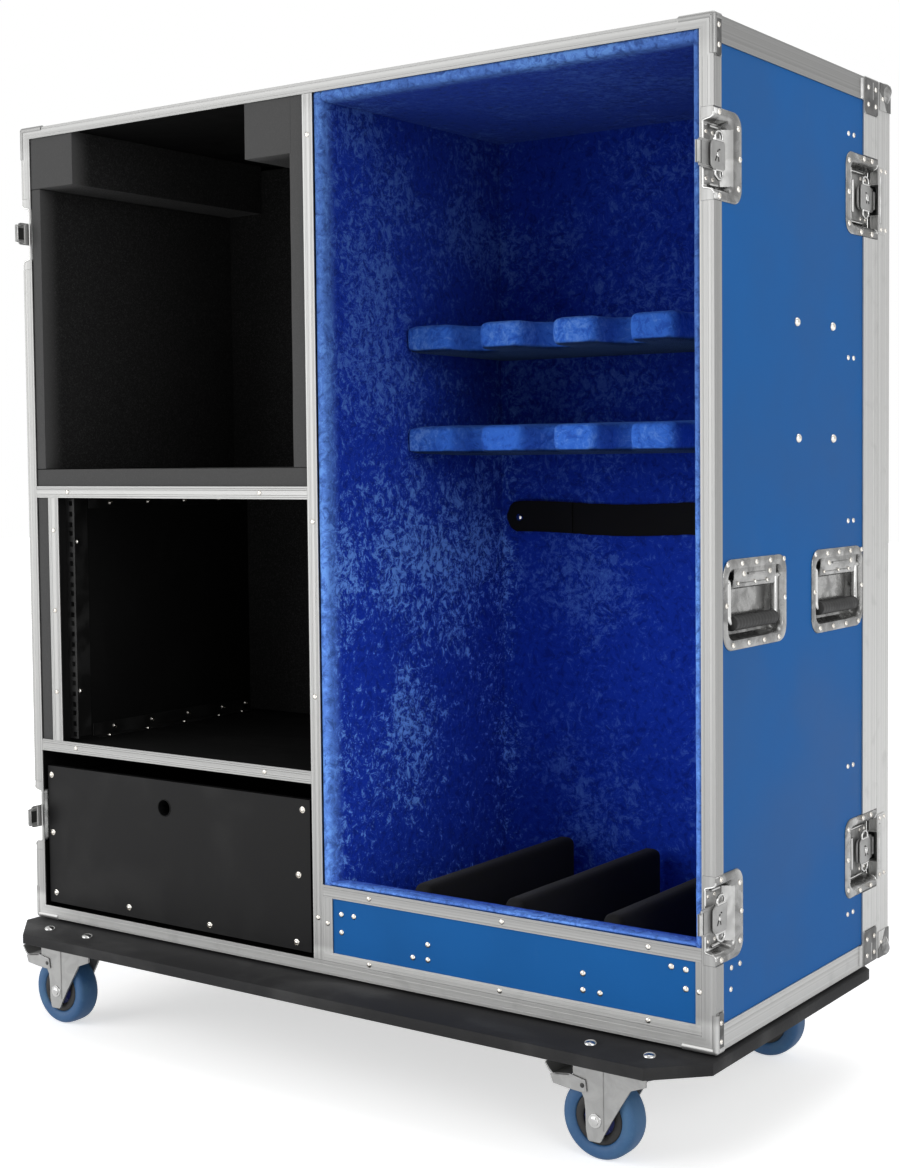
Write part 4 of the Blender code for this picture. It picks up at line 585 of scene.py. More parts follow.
# Painted light: the bay's plush in paler tones for the lit neck rests, with painted shade on their undersides
# (the last value).
LIT_REST_PLUSH = CrushedPlush(
    "lit_rest_plush", Slot.PLUSH, linear(20, 56, 160), linear(62, 122, 226), linear(128, 176, 248), 1.8, 0.10
)
# The last value of each felt is how pale its painted light at the front of the case is.
FOAM = Felt("grey_foam", Slot.FOAM, linear(16, 16, 16), linear(50, 50, 50), 0.10)
DIVIDER_FELT = Felt("divider_felt", Slot.DIVIDER, linear(4, 4, 4), linear(13, 12, 12), 0.06)
WEBBING = WovenWebbing("black_webbing", Slot.WEBBING, linear(3, 3, 4), linear(11, 11, 13))
RACK_COAT = Moulded("rack_coating", Slot.RACK, linear(12, 12, 12), linear(28, 28, 28), 0.42, 0.0001)
# Painted shadow: black strips where slots and hollows lie in shade.
SHADOW_BLACK = Moulded("painted_shadow_black", Slot.ZINC, linear(8, 8, 8), linear(18, 18, 18), 0.7, 0.0001)
GRIP_RUBBER = Moulded("grip_rubber", Slot.BRIGHT, linear(12, 12, 12), linear(34, 34, 34), 0.6, 0.0003)
TYRE = Moulded("blue_tyre", Slot.TYRE, linear(40, 84, 128), linear(78, 116, 148), 0.58, 0.0002)
HUB_RING = Moulded("hub_ring", Slot.TYRE, linear(7, 6, 6), linear(18, 16, 15), 0.6, 0.0002)
HUB_CENTRE = Moulded("hub_centre", Slot.TYRE, linear(42, 50, 120), linear(66, 78, 140), 0.45, 0.0002)


def as_given(x: float, y: float, z: float) -> Point:
    """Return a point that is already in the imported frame."""
    return (x, y, z)


def case_point(x: float, y: float, z: float) -> Point:
    """Return the packed-frame place of a point in case coordinates."""
    return (x, y + CASE_FRONT_Y, z + CASE_BOTTOM_Z)


def case_corners() -> Iterator[tuple[int, float, int]]:
    """Yield the side, the height and the way into the case of each of its four long edges."""
    for side in SIDES.values():
        for z, level in ((0.0, 1), (HEIGHT, -1)):
            yield side, z, level


def wall_place(side: int, start_y: float, direction: int, centre_z: float) -> Place:
    """Return the placing function of a fitting on a side wall.

    Args:
        side: -1 for the left wall, 1 for the right one.
        start_y: The case y at which u is 0.
        direction: 1 when u runs to the back, -1 when it runs to the front.
        centre_z: The height at which v is 0.

    Returns:
        place(u, v, d), which gives the packed-frame point.
    """

    def place(u: float, v: float, d: float) -> Point:
        return case_point(side * (HALF_WIDTH - d), start_y + direction * u, centre_z + v)

    return place


def arc(centre: tuple[float, float], radius: float, start: float, end: float, steps: int) -> Outline:
    """Return the points of an arc, angles in degrees, both ends included."""
    angles = [math.radians(start + (end - start) * i / steps) for i in range(steps + 1)]
    return [(centre[0] + radius * math.cos(a), centre[1] + radius * math.sin(a)) for a in angles]


def rounded_rectangle(low: Point, high: Point, radii: Sequence[float], steps: int = 6) -> Outline:
    """Return a rectangle's outline with a radius for each corner, from low-low round to low-high."""
    corners = (
        (low[0], low[1], 1, 1, 180),
        (high[0], low[1], -1, 1, 270),
        (high[0], high[1], -1, -1, 0),
        (low[0], high[1], 1, -1, 90),
    )
    outline: Outline = []
    for (a, b, to_a, to_b, start), radius in zip(corners, radii):
        centre = (a + to_a * radius, b + to_b * radius)
        outline += arc(centre, radius, start, start + 90, steps)
    return outline


def on_circle(radius: float, step: int, steps: int) -> tuple[float, float]:
    """Return a point on a circle round the origin, a number of steps on from the first axis."""
    angle = 2 * math.pi * step / steps
    return radius * math.cos(angle), radius * math.sin(angle)


def mirrored(section: Outline, middle: int = 0) -> Outline:
    """Return a ring's section with its mirror image; middle is 1 when its last point lies on the mirror."""
    return section + [(r, -h) for r, h in section[: len(section) - middle][::-1]]


def inset(outline: Outline, distance: float) -> Outline:
    """Return a counter-clockwise outline moved inward by a distance, its corners mitred."""
    count = len(outline)
    moved: Outline = []
    for i, (a, b) in enumerate(outline):
        before, after = outline[i - 1], outline[(i + 1) % count]
        first = Vector((a - before[0], b - before[1]))
        second = Vector((after[0] - a, after[1] - b))
        if first.length < 1e-9 or second.length < 1e-9:
            first = second = first if first.length > second.length else second
        first.normalize()
        second.normalize()
        normal = Vector((-first.y - second.y, first.x + second.x))
        normal.normalize()
        share = max(0.35, normal.dot(Vector((-first.y, first.x))))
        moved.append((a + normal.x * distance / share, b + normal.y * distance / share))
    return moved


def soften(obj: bpy.types.Object, width: float, harden: bool = False) -> None:
    """Bevel an object's sharp edges by a width, unless it is 0."""
    if width:
        bevel = obj.modifiers.new("Soft edges", "BEVEL")
        bevel.width, bevel.segments = width, 2
        bevel.limit_method, bevel.angle_limit = "ANGLE", math.radians(30)
        bevel.harden_normals = harden


class Form:
    """A mesh being drawn. Its points pass through one placing function, and its methods return it."""

    def __init__(self, place: Place = case_point) -> None:
        """Start an empty mesh."""
        self.mesh = bmesh.new()
        self.place = place

    def loft(self, loops: Sequence[Sequence[Point]], closed: bool = True, caps: bool = True) -> Form:
        """Join loops of the same number of points with quads.

        Args:
            loops: The loops in order, their points in this form's coordinates.
            closed: Whether each loop's last point joins its first.
            caps: Whether the first and last loops are filled.

        Returns:
            This form.
        """
        rows = [[self.mesh.verts.new(self.place(*p)) for p in loop] for loop in loops]
        count = len(rows[0])
        for row, following in zip(rows, rows[1:]):
            for i in range(count if closed else count - 1):
                j = (i + 1) % count
                self.mesh.faces.new((row[i], row[j], following[j], following[i]))
        if caps:
            self.mesh.faces.new(rows[0][::-1])
            self.mesh.faces.new(rows[-1])
        return self

    def face(self, points: Sequence[Point]) -> Form:
        """Add one face of its own corners."""
        self.mesh.faces.new([self.mesh.verts.new(self.place(*p)) for p in points])
        return self

    def prism(self, outline: Outline, low: float, high: float, order: str = "abh") -> Form:
        """Sweep an outline from low to high; order says which of a, b and the height each axis takes."""
        picks = ["abh".index(letter) for letter in order]
        return self.loft([[tuple((a, b, h)[i] for i in picks) for a, b in outline] for h in (low, high)])

    def plate(self, outline: Outline, levels: Outline) -> Form:
        """Build a body from one outline inset by a distance at each height, given as (inset, height)."""
        return self.loft([[(a, b, h) for a, b in inset(outline, d)] for d, h in levels])

    def block(self, low: Point, high: Point) -> Form:
        """Add a box between two corners."""
        outline = [(low[0], low[1]), (high[0], low[1]), (high[0], high[1]), (low[0], high[1])]
        return self.prism(outline, low[2], high[2])

    def turned(self, profile: Outline, seat: Matrix, segments: int, closed: bool = False) -> Form:
        """Add a body turned from (radius, height) points.

        Args:
            profile: The points from one end to the other.
            seat: The matrix from the body's own axes, height along Z, to this form's coordinates.
            segments: The number of sides.
            closed: Whether the profile is a ring's section.

        Returns:
            This form.
        """
        loops = []
        for radius, height in profile:
            turns = [on_circle(radius, i, segments) for i in range(segments)]
            loops.append([seat @ Vector((a, b, height)) for a, b in turns])
        return self.loft([*loops, loops[0]], caps=False) if closed else self.loft(loops)

    def tube(self, path: Sequence[Point], radius: float, segments: int = 8, closed: bool = False) -> Form:
        """Add a round bar along a path in this form's coordinates."""
        points = [Vector(p) for p in path]
        count = len(points)
        loops = []
        side = None
        for i, point in enumerate(points):
            ahead = points[(i + 1) % count] if closed or i < count - 1 else point
            behind = points[i - 1] if closed or i > 0 else point
            along = (ahead - behind).normalized()
            if side is None:
                side = along.orthogonal().normalized()
            side = (side - along * side.dot(along)).normalized()
            other = along.cross(side)
            turns = [on_circle(1.0, k, segments) for k in range(segments)]
            loops.append([point + (side * a + other * b) * radius for a, b in turns])
        return self.loft([*loops, loops[0]], caps=False) if closed else self.loft(loops)

    def soft_block(self, low: Point, high: Point, radius: float, cell: float, lumps: float) -> Form:
        """Add a foam block: a box with round edges whose faces are gently uneven.

        Args:
            low, high: Its corners.
            radius: The radius of its edges.
            cell: The size of its facets.
            lumps: How far its faces stray.

        Returns:
            This form.
        """
        axes = []
        for a, b in zip(low, high):
            reach = min(radius, (b - a) / 2 * 0.999)
            inner = max(1, round((b - a - 2 * reach) / cell))
            steps = [a, a + reach * 0.3, a + reach * 0.7]
            steps += [a + reach + (b - a - 2 * reach) * i / inner for i in range(inner + 1)]
            axes.append(steps + [b - reach * 0.7, b - reach * 0.3, b])
        found: dict[tuple[int, int, int], bmesh.types.BMVert] = {}

        def vertex(i: int, j: int, k: int) -> bmesh.types.BMVert:
            """Return the vertex of a grid place, which faces that meet there share."""
            key = (i, j, k)
            if key not in found:
                point = Vector((axes[0][i], axes[1][j], axes[2][k]))
                core = Vector(
                    min(max(p, a + min(radius, (b - a) / 2)), b - min(radius, (b - a) / 2))
                    for p, a, b in zip(point, low, high)
                )
                out = point - core
                if out.length > 1e-9:
                    out.normalize()
                    reach = min(radius, *((b - a) / 2 for a, b in zip(low, high)))
                    point = core + out * reach
                    swell = noise.noise(point * 9.0) + 0.5 * noise.noise(point * 31.0)
                    point -= out * lumps * (0.5 + 0.5 * swell)
                found[key] = self.mesh.verts.new(self.place(*point))
            return found[key]

        counts = [len(steps) for steps in axes]
        for axis in range(3):
            first, second = (axis + 1) % 3, (axis + 2) % 3
            for end in (0, counts[axis] - 1):
                for i in range(counts[first] - 1):
                    for j in range(counts[second] - 1):
                        corners = []
                        for di, dj in ((0, 0), (1, 0), (1, 1), (0, 1)):
                            index = [0, 0, 0]
                            index[axis], index[first], index[second] = end, i + di, j + dj
                            corners.append(vertex(*index))
                        self.mesh.faces.new(corners if end else corners[::-1])
        return self

    def piece(
        self,
        name: str,
        finish: Finish,
        body: str,
        replaces: Iterable[str] = (),
        bevel: float = 0.0,
        smooth: float = 35.0,
        shell: float = 0.0,
    ) -> bpy.types.Object:
        """Turn the drawing into a piece of the case.

        Args:
            name: The piece's name.
            finish: Its finish.
            body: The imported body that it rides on.
            replaces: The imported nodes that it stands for.
            bevel: The width of a bevel on its sharp edges, or 0.
            smooth: The angle, in degrees, above which an edge stays sharp.
            shell: The thickness given to an open sheet, or 0.

        Returns:
            The new object.
        """
        bmesh.ops.remove_doubles(self.mesh, verts=self.mesh.verts, dist=1e-7)
        bmesh.ops.recalc_face_normals(self.mesh, faces=self.mesh.faces)
        mesh = bpy.data.meshes.new(name)
        self.mesh.to_mesh(mesh)
        self.mesh.free()
        mesh.materials.append(finish.material())
        mesh.shade_smooth()
        mesh.set_sharp_from_angle(angle=math.radians(smooth))
        obj = bpy.data.objects.new(name, mesh)
        bpy.context.scene.collection.objects.link(obj)
        if shell:
            solid = obj.modifiers.new("Shell", "SOLIDIFY")
            solid.thickness, solid.offset, solid.use_even_offset = shell, -1.0, True
        soften(obj, bevel, harden=True)
        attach(obj, body)
        if replaces:
            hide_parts(*replaces)
        LOG.info("%s rides on %s", name, body)
        return obj


def dress(finish: Finish, *nodes: str, bevel: float = 0.0) -> None:
    """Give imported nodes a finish, and a soft edge where a bevel width is given."""
    for name in nodes:
        node = bpy.data.objects[name]
        node.data.materials.clear()
        node.data.materials.append(finish.material())
        soften(node, bevel)


def facing(point: Point, normal: Point) -> Matrix:
    """Return the matrix that seats a turned body at a point with its height along a normal."""
    turn = Vector(normal).to_track_quat("Z", "Y").to_matrix().to_4x4()
    return Matrix.Translation(Vector(point)) @ turn


# Heads of fasteners, as (share of the head's radius, height above the surface)
RIVET_HEAD: Outline = [
    (1.0, -0.0006), (1.0, 0.0003), (0.93, 0.0008), (0.74, 0.0014), (0.5, 0.0018),
    (0.30, 0.0019), (0.26, 0.0013), (0.05, 0.0012),
]
BOLT_HEAD: Outline = [
    (1.0, -0.001), (1.0, 0.0006), (0.95, 0.0016), (0.78, 0.0030), (0.5, 0.0040),
    (0.22, 0.0044), (0.02, 0.0045),
]
CUP_WASHER: Outline = [
    (1.0, -0.0005), (1.0, 0.0004), (0.9, 0.0011), (0.74, 0.0012), (0.70, 0.0004), (0.05, 0.0003),
]
SCREW_HEAD: Outline = [(0.66, 0.0002), (0.62, 0.0012), (0.45, 0.0019), (0.2, 0.0022), (0.02, 0.0022)]


@dataclass
class Fasteners:
    """Rivets, screws and bolts of one body, drawn as a single piece."""

    name: str
    body: str

    def __post_init__(self) -> None:
        """Start with none."""
        self.form = Form(as_given)

    def head(self, profile: Outline, point: Point, normal: Point, radius: float, segments: int) -> None:
        """Add one turned head on a surface."""
        self.form.turned([(share * radius, h) for share, h in profile], facing(point, normal), segments)

    def rivet(self, point: Point, normal: Point, radius: float = 0.0040) -> None:
        """Add a blind rivet: flange, dome and the dimple that its mandrel leaves."""
        self.head(RIVET_HEAD, point, normal, radius, 14)

    def bolt(self, point: Point, normal: Point, radius: float = 0.0080) -> None:
        """Add a mushroom-headed bolt."""
        self.head(BOLT_HEAD, point, normal, radius, 24)

    def screw(self, point: Point, normal: Point, radius: float = 0.0052) -> None:
        """Add a domed screw in a cup washer."""
        self.head(CUP_WASHER, point, normal, radius, 18)
        self.head(SCREW_HEAD, point, normal, radius, 14)

    def make(self, finish: Finish) -> bpy.types.Object:
        """Return all of them as one piece."""
        return self.form.piece(self.name, finish, self.body, smooth=50)


@dataclass
class Lining:
    """The plush lining of the guitar bay: foam pads covered with crushed plush."""

    thick: float = 0.0165
    edge: float = 0.0065
    cell: float = 0.009
    lumps: float = 0.0008
    lap: float = 0.004
    well_height: float = 0.124
    well_faces: tuple[float, float] = (0.0116, 0.0281)
    fascia_top: float = 0.1193

    def build(self) -> None:
        """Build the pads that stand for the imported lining."""
        left, right = WALL_RIGHT + GAP, DISH_CLEAR
        floor, top = FLOOR_TOP + GAP, CEILING - GAP
        back, lap = LINING_FACE_Y + self.thick, self.lap
        in_left, in_right = BAY_LEFT - lap, BAY_RIGHT + lap
        well_in, well_out = self.well_faces
        pads = {
            "lining_left_wall": ((left, PANEL_OUT, floor), (BAY_LEFT, back, top)),
            "lining_right_wall": ((BAY_RIGHT, PANEL_OUT, floor), (right, back, top)),
            "lining_ceiling": ((in_left, PANEL_OUT, BAY_CEILING), (in_right, back, top)),
            "lining_back_wall": ((in_left, LINING_FACE_Y, floor), (in_right, back, top - lap)),
            "lining_floor": ((in_left, well_in, floor), (in_right, back - lap, BAY_FLOOR)),
            "lining_well_front": ((in_left, well_in, floor), (in_right, well_out, self.fascia_top)),
            "lining_sill": ((in_left, PANEL_OUT, self.fascia_top), (in_right, well_out, self.well_height)),
        }
        for name, (low, high) in pads.items():
            edge = min(self.edge, (high[2] - low[2]) / 2, (high[0] - low[0]) / 2)
            stands_for = ("plush_lining",) if name == "lining_back_wall" else ()
            form = Form().soft_block(low, high, edge, self.cell, self.lumps)
            form.piece(name, PLUSH, "shell", stands_for)


@dataclass
class FoamFittings:
    """Foam of the amplifier bay, the rack bay and the rear cover, and the dividers of the guitar well."""

    side: float = 0.0254
    right: float = 0.0273
    floor: float = 0.0272
    block_height: float = 0.0774
    block_left: float = 0.0697
    block_right: float = 0.0777
    end_y: float = 0.4087
    rack_end: float = 0.4130
    edge: float = 0.0011
    lap: float = 0.004
    cell: float = 0.018
    lumps: float = 0.0010

    def pad(
        self, name: str, low: Point, high: Point, body: str = "shell", replaces: Iterable[str] = ()
    ) -> None:
        """Add one foam pad."""
        form = Form().soft_block(low, high, self.edge, self.cell, self.lumps)
        form.piece(name, FOAM, body, replaces)

    def amplifier_bay(self) -> None:
        """Build the floor, the two sides and the two ceiling blocks."""
        left, right = -DISH_CLEAR, WALL_LEFT - GAP
        low, top = AMP_SHELF_TOP + GAP, CEILING - GAP
        front, end = PANEL_OUT, self.end_y
        in_left, in_right = -INSIDE + GAP + self.side, right - self.right
        bottom = top - self.block_height
        floor, proud = low + self.floor, front - GAP
        self.pad("amp_foam_left", (left, front, floor), (in_left, end, bottom), replaces=("amp_foam",))
        self.pad("amp_foam_right", (in_right, front, floor), (right, end, top))
        self.pad("amp_foam_floor", (left, front, low), (right, end, floor))
        self.pad("amp_block_left", (left, proud, bottom), (in_left + self.block_left, end, top))
        right_low = (in_right - self.block_right, proud, bottom)
        self.pad("amp_block_right", right_low, (in_right + self.lap, end, top))

    def rack_bay(self) -> None:
        """Build the foam left of the rack partition."""
        low = (-DISH_CLEAR, PANEL_OUT, RACK_SHELF_TOP + GAP)
        high = (PARTITION_LEFT - GAP, self.rack_end, AMP_SHELF_TOP - INNER_PLY - GAP)
        self.pad("rack_foam_side", low, high, replaces=("rack_foam",))

    def cover(self) -> None:
        """Build the cover's sheet of foam and its two plugs that close the bays."""
        start, end = BODY_DEPTH + 2 * GAP, CASE_BACK - PANEL_OUT - PLY - GAP
        inner, clear, frame = INSIDE - GAP, 0.001, 0.019
        left, right, back = frame - HALF_WIDTH, WALL_LEFT - clear, start + self.lap
        amp_low, rack_low = AMP_SHELF_TOP + clear, RACK_SHELF_TOP + clear
        rack_top = AMP_SHELF_TOP - INNER_PLY - clear
        blocks = (
            ("foam_sheet", (-inner, start, FLOOR_TOP + GAP), (inner, end, CEILING - GAP), ("cover_foam",)),
            ("plug_amplifier", (left, LINING_FACE_Y, amp_low), (right, back, HEIGHT - frame), ()),
            ("plug_rack", (left, self.rack_end + GAP, rack_low), (right, back, rack_top), ()),
        )
        for name, low, high, replaces in blocks:
            self.pad(f"cover_{name}", low, high, "rear_cover", replaces)

    def dividers(self) -> None:
        """Build the three padded dividers, felt pulled round their tops and front corners."""
        thick, count, front, end, top, corner = 0.030, 3, 0.0284, 0.386, 0.132, 0.011
        slot = (BAY_RIGHT - BAY_LEFT - count * thick) / (count + 1)
        for i in range(count):
            left = BAY_LEFT + slot + i * (slot + thick)
            low, high = (left, front, BAY_FLOOR + GAP), (left + thick, end, top)
            form = Form().soft_block(low, high, corner, 0.012, 0.0008)
            divider = form.piece(f"divider_{i + 1}", DIVIDER_FELT, "shell", (f"foam_divider_{i + 1}",))

    def build(self) -> None:
        """Build every foam piece."""
        self.amplifier_bay()
        self.rack_bay()
        self.cover()
        self.dividers()


@dataclass(frozen=True)
class Puffing:
    """A cloth simulation that puffs a covered cushion from inside."""

    voxel: float = 0.006
    pressure: float = 4.0
    cap: float = 0.003
    frames: int = 20

    @staticmethod
    def applied(obj: bpy.types.Object) -> bpy.types.Mesh:
        """Return the mesh that an object's modifiers make."""
        view = bpy.context.evaluated_depsgraph_get()
        view.update()
        return bpy.data.meshes.new_from_object(obj.evaluated_get(view))

    def run(self, obj: bpy.types.Object, held: Callable[[Vector], bool]) -> None:
        """Remesh a piece, let cloth swell under pressure, cap how far it moves and round it off.

        Args:
            obj: The cushion, which keeps its materials.
            held: Tells whether a point is glued to what lies behind it.
        """
        scene = bpy.context.scene
        for old in list(obj.modifiers):
            obj.modifiers.remove(old)
        remesh = obj.modifiers.new("remesh", "REMESH")
        remesh.mode, remesh.voxel_size = "VOXEL", self.voxel
        mesh = self.applied(obj)
        obj.modifiers.clear()
        obj.data = mesh
        start = [vertex.co.copy() for vertex in mesh.vertices]
        pins = obj.vertex_groups.new(name="held")
        pins.add([i for i, point in enumerate(start) if held(point)], 1.0, "REPLACE")
        cloth = obj.modifiers.new("cloth", "CLOTH")
        cloth.settings.use_pressure = True
        cloth.settings.uniform_pressure_force = self.pressure
        cloth.settings.effector_weights.gravity = 0.0
        cloth.settings.vertex_group_mass = pins.name
        cloth.point_cache.frame_start, cloth.point_cache.frame_end = 1, self.frames
        for frame in range(1, self.frames + 1):
            scene.frame_set(frame)
        swollen = self.applied(obj)
        obj.modifiers.clear()
        for vertex, puffed, before in zip(mesh.vertices, swollen.vertices, start):
            move = puffed.co - before
            if move.length > self.cap:
                move *= self.cap / move.length
            vertex.co = before + move
        bpy.data.meshes.remove(swollen)
        scene.frame_set(1)
        smooth = obj.modifiers.new("rounding", "SUBSURF")
        smooth.levels = smooth.render_levels = 1
        for polygon in mesh.polygons:
            polygon.use_smooth = True


@dataclass
class NeckRests:
    """The two padded neck rests: toothed boards covered with foam and plush."""

    thick: float = 0.037
    front_y: float = 0.1755
    notch_width: float = 0.048
    notch_depth: float = 0.066
    tooth_corner: float = 0.012
    edge: float = 0.006
    notches: int = 4

    def outline(self) -> Outline:
        """Return the toothed plan, clockwise seen from above the left back corner."""
        left, right = BAY_LEFT + GAP, BAY_RIGHT - GAP
        back = LINING_FACE_Y - GAP
        tooth = (right - left - self.notches * self.notch_width) / (self.notches + 1)
        half = self.notch_width / 2
        end_y = self.front_y + self.notch_depth - half
        corner = self.tooth_corner
        points: Outline = [(left, back), (left, self.front_y)]
        for i in range(self.notches):
            middle = left + tooth + half + i * (tooth + self.notch_width)
            points += arc((middle - half - corner, self.front_y + corner), corner, -90, 0, 8)
            points += arc((middle, end_y), half, 180, 0, 14)
            points += arc((middle + half + corner, self.front_y + corner), corner, 180, 270, 8)
        points += [(right, self.front_y), (right, back)]
        return points

    def build(self) -> None:
        """Build both rests with crowned faces and round edges."""
        outline = self.outline()
        half, edge = self.thick / 2, self.edge
        turns = [math.radians(angle) for angle in (0, 22, 45, 68, 90)]
        steps = [(edge * (1 - math.cos(a)), edge * (1 - math.sin(a))) for a in turns]
        for name, middle in (("neck_rest_upper", 0.8445), ("neck_rest_lower", 0.7060)):
            levels = [(a, middle - half + b) for a, b in steps[::-1]]
            levels += [(-0.0006, middle - half * 0.35), (-0.0009, middle), (-0.0006, middle + half * 0.35)]
            levels += [(a, middle + half - b) for a, b in steps]
            form = Form().plate(outline, levels)
            rest = form.piece(f"padded_{name}", LIT_REST_PLUSH, "shell", (name,), smooth=60)
            glued = CASE_FRONT_Y + LINING_FACE_Y - 0.006
            Puffing().run(rest, lambda point: point.y > glued)


@dataclass
class NeckStrap:
    """The webbing strap on the back wall, with its stud and doubled end."""

    height: float = 0.5925
    width: float = 0.045
    start: float = 0.0152
    length: float = 0.500
    thick: float = 0.0024

    def ribbon(self, start: float, length: float, back: float, wave: float) -> Form:
        """Return one layer with a rounded end, lying in slow waves along the wall."""
        steps, rows = int(length / 0.006), 6
        loops = []
        for i in range(steps + 1):
            x = start + length * i / steps
            t = i / steps * length
            rounding = 1 - (1 - min(1.0, t / 0.020)) ** 2
            half = self.width / 2 * min(1.0, math.sqrt(max(0.02, rounding)))
            lift = wave * (1 - math.cos(t * 26)) / 2 + 0.0004 * noise.noise(Vector((x * 40, 0, 0)))
            y = LINING_FACE_Y - GAP - back - lift
            ragged = 0.0012 * noise.noise(Vector((x * 160, 3.0, 0))) + 0.0022 * math.sin(t * 21 + 0.6)
            ring = [(x, y, self.height - half + 2 * half * k / rows + ragged) for k in range(rows + 1)]
            loops.append(ring + [(x, y - self.thick, z) for _x, _y, z in ring[::-1]])
        return Form().loft(loops)

    def build(self) -> None:
        """Build the strap, its doubled end and its stud."""
        end = min(self.start + self.length, BAY_RIGHT - 0.002)
        length = end - self.start
        strap = self.ribbon(self.start, length, 0.0, 0.0012).piece(
            "neck_strap_webbing", WEBBING, "shell", ("neck_strap",), smooth=50
        )
        doubled = self.ribbon(self.start + 0.004, 0.112, self.thick + 0.0012, 0.0006).piece(
            "neck_strap_doubled_end", WEBBING, "shell", smooth=50
        )
        profile = [(0.0055, -0.001), (0.0058, 0.0006), (0.0050, 0.0022), (0.0032, 0.0034), (0.0006, 0.0038)]
        seat = facing((0.040, LINING_FACE_Y - 0.0062, self.height + 0.0005), (0, -1, 0))
        Form().turned(profile, seat, 18).piece("neck_strap_stud", CHROME, "shell")


@dataclass
class SideWalls:
    """The laminated boards, those of the sides with openings for latch and handle dishes."""

    laminate: float = 0.0012
    dish_half: float = 0.0425
    front_dish: float = 0.0520
    rear_dish: float = 0.0870
    handle_half: float = 0.0735

    def openings(self) -> list[tuple[float, float, float, float]]:
        """Return each opening as (low y, low z, high y, high z)."""
        found, half = [], self.dish_half
        for z in LATCH_LEVELS.values():
            found.append((0.0, z - half, self.front_dish, z + half))
            found.append((BODY_DEPTH - self.rear_dish, z - half, BODY_DEPTH, z + half))
        for y in HANDLE_ENDS.values():
            found.append((y - self.handle_half, HANDLE_Z - half, y + self.handle_half, HANDLE_Z + half))
        return found

    def board(
        self, name: str, side: int, depths: tuple[float, float], finish: Finish, replaces: Iterable[str]
    ) -> None:
        """Build one layer of a side board as a slab with its openings left out.

        Args:
            name: The layer's name.
            side: -1 for the left wall, 1 for the right one.
            depths: The layer's outer and inner distance from the case's side.
            finish: Its finish.
            replaces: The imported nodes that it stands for.
        """
        front, rear, low, high = PANEL_OUT, BODY_DEPTH - PANEL_OUT, PANEL_OUT, HEIGHT - PANEL_OUT
        holes = self.openings()
        ys = sorted({front, rear, *(min(max(y, front), rear) for h in holes for y in h[::2])})
        zs = sorted({low, high, *(z for h in holes for z in h[1::2])})
        form = Form()
        outer, inner = (side * (HALF_WIDTH - depth) for depth in depths)
        solid = {}
        for i in range(len(ys) - 1):
            for j in range(len(zs) - 1):
                y, z = (ys[i] + ys[i + 1]) / 2, (zs[j] + zs[j + 1]) / 2
                solid[i, j] = not any(h[0] < y < h[2] and h[1] < z < h[3] for h in holes)
        for (i, j), filled in solid.items():
            if not filled:
                continue
            y0, y1, z0, z1 = ys[i], ys[i + 1], zs[j], zs[j + 1]
            corners = ((y0, z0), (y1, z0), (y1, z1), (y0, z1))
            for x in (outer, inner):
                form.face([(x, *corner) for corner in corners])
            borders = (((i, j - 1), 0, 1), ((i + 1, j), 1, 2), ((i, j + 1), 2, 3), ((i - 1, j), 3, 0))
            for neighbour, a, b in borders:
                if not solid.get(neighbour, False):
                    near, far = corners[a], corners[b]
                    form.face([(outer, *near), (outer, *far), (inner, *far), (inner, *near)])
        form.piece(name, finish, "shell", replaces)

    def level_board(self, name: str, outer: float, inner: float) -> None:
        """Build the top or the bottom board from its outer to its inner face."""
        half, front, rear = INSIDE - GAP, PANEL_OUT, BODY_DEPTH - PANEL_OUT
        skin = outer + math.copysign(self.laminate, inner - outer)
        layers = (("laminate", outer, skin, LAMINATE, (f"{name}_panel",)), ("ply", skin, inner, BOARD, ()))
        for layer, a, b, finish, replaces in layers:
            form = Form().block((-half, front, min(a, b)), (half, rear, max(a, b)))
            form.piece(f"{name}_board_{layer}", finish, "shell", replaces)

    def build(self) -> None:
        """Build the boards, blue laminate outside and black inside, and dress the other panels."""
        skin = PANEL_OUT + self.laminate
        for side_name, side in SIDES.items():
            panel = (f"{side_name}_panel",)
            self.board(f"{side_name}_board_laminate", side, (PANEL_OUT, skin), LAMINATE, panel)
            self.board(f"{side_name}_board_ply", side, (skin, HALF_WIDTH - INSIDE), BOARD, ())
        self.level_board("top", HEIGHT - PANEL_OUT, CEILING)
        self.level_board("bottom", PANEL_OUT, FLOOR_TOP)
        dress(LAMINATE, "guitar_back", "fascia_panel", "cover_panel")
        dress(BOARD, "amp_shelf", "rack_shelf", "rack_partition", bevel=0.0004)
        low = (WALL_LEFT, PANEL_OUT, FLOOR_TOP + GAP)
        high = (WALL_RIGHT, BODY_DEPTH - PANEL_OUT, CEILING - GAP)
        Form().block(low, high).piece("centre_board", BOARD, "shell", ("centre_wall",), bevel=0.0004)


@dataclass(frozen=True)
class LatchKind:
    """What differs between the latches of the front opening and those of the rear cover.

    Lengths run along u, from the edge that the latch closes. The rivets' places are (u, v).
    """

    name: str
    start_y: float
    direction: int
    length: float
    half: float
    recess: float
    bead_u: float
    spindle: float
    throw: float
    boss: float
    rivets: Outline


FRONT_LATCH = LatchKind(
    "front", 0.0, 1, 0.070, 0.0515, 0.047, 0.0004, 0.017, 0.012, 0.0030,
    [(0.013, 0.0465), (0.060, 0.034), (0.064, 0.0), (0.060, -0.034), (0.013, -0.0465)],
)
REAR_LATCH = LatchKind(
    "rear", BODY_DEPTH, -1, 0.102, 0.0525, 0.082, 0.0016, 0.025, 0.0, 0.0052,
    [(0.094, 0.040), (0.095, 0.0), (0.094, -0.040), (0.046, 0.0475), (0.020, 0.0475), (0.055, -0.0475),
     (0.020, -0.0475)],
)


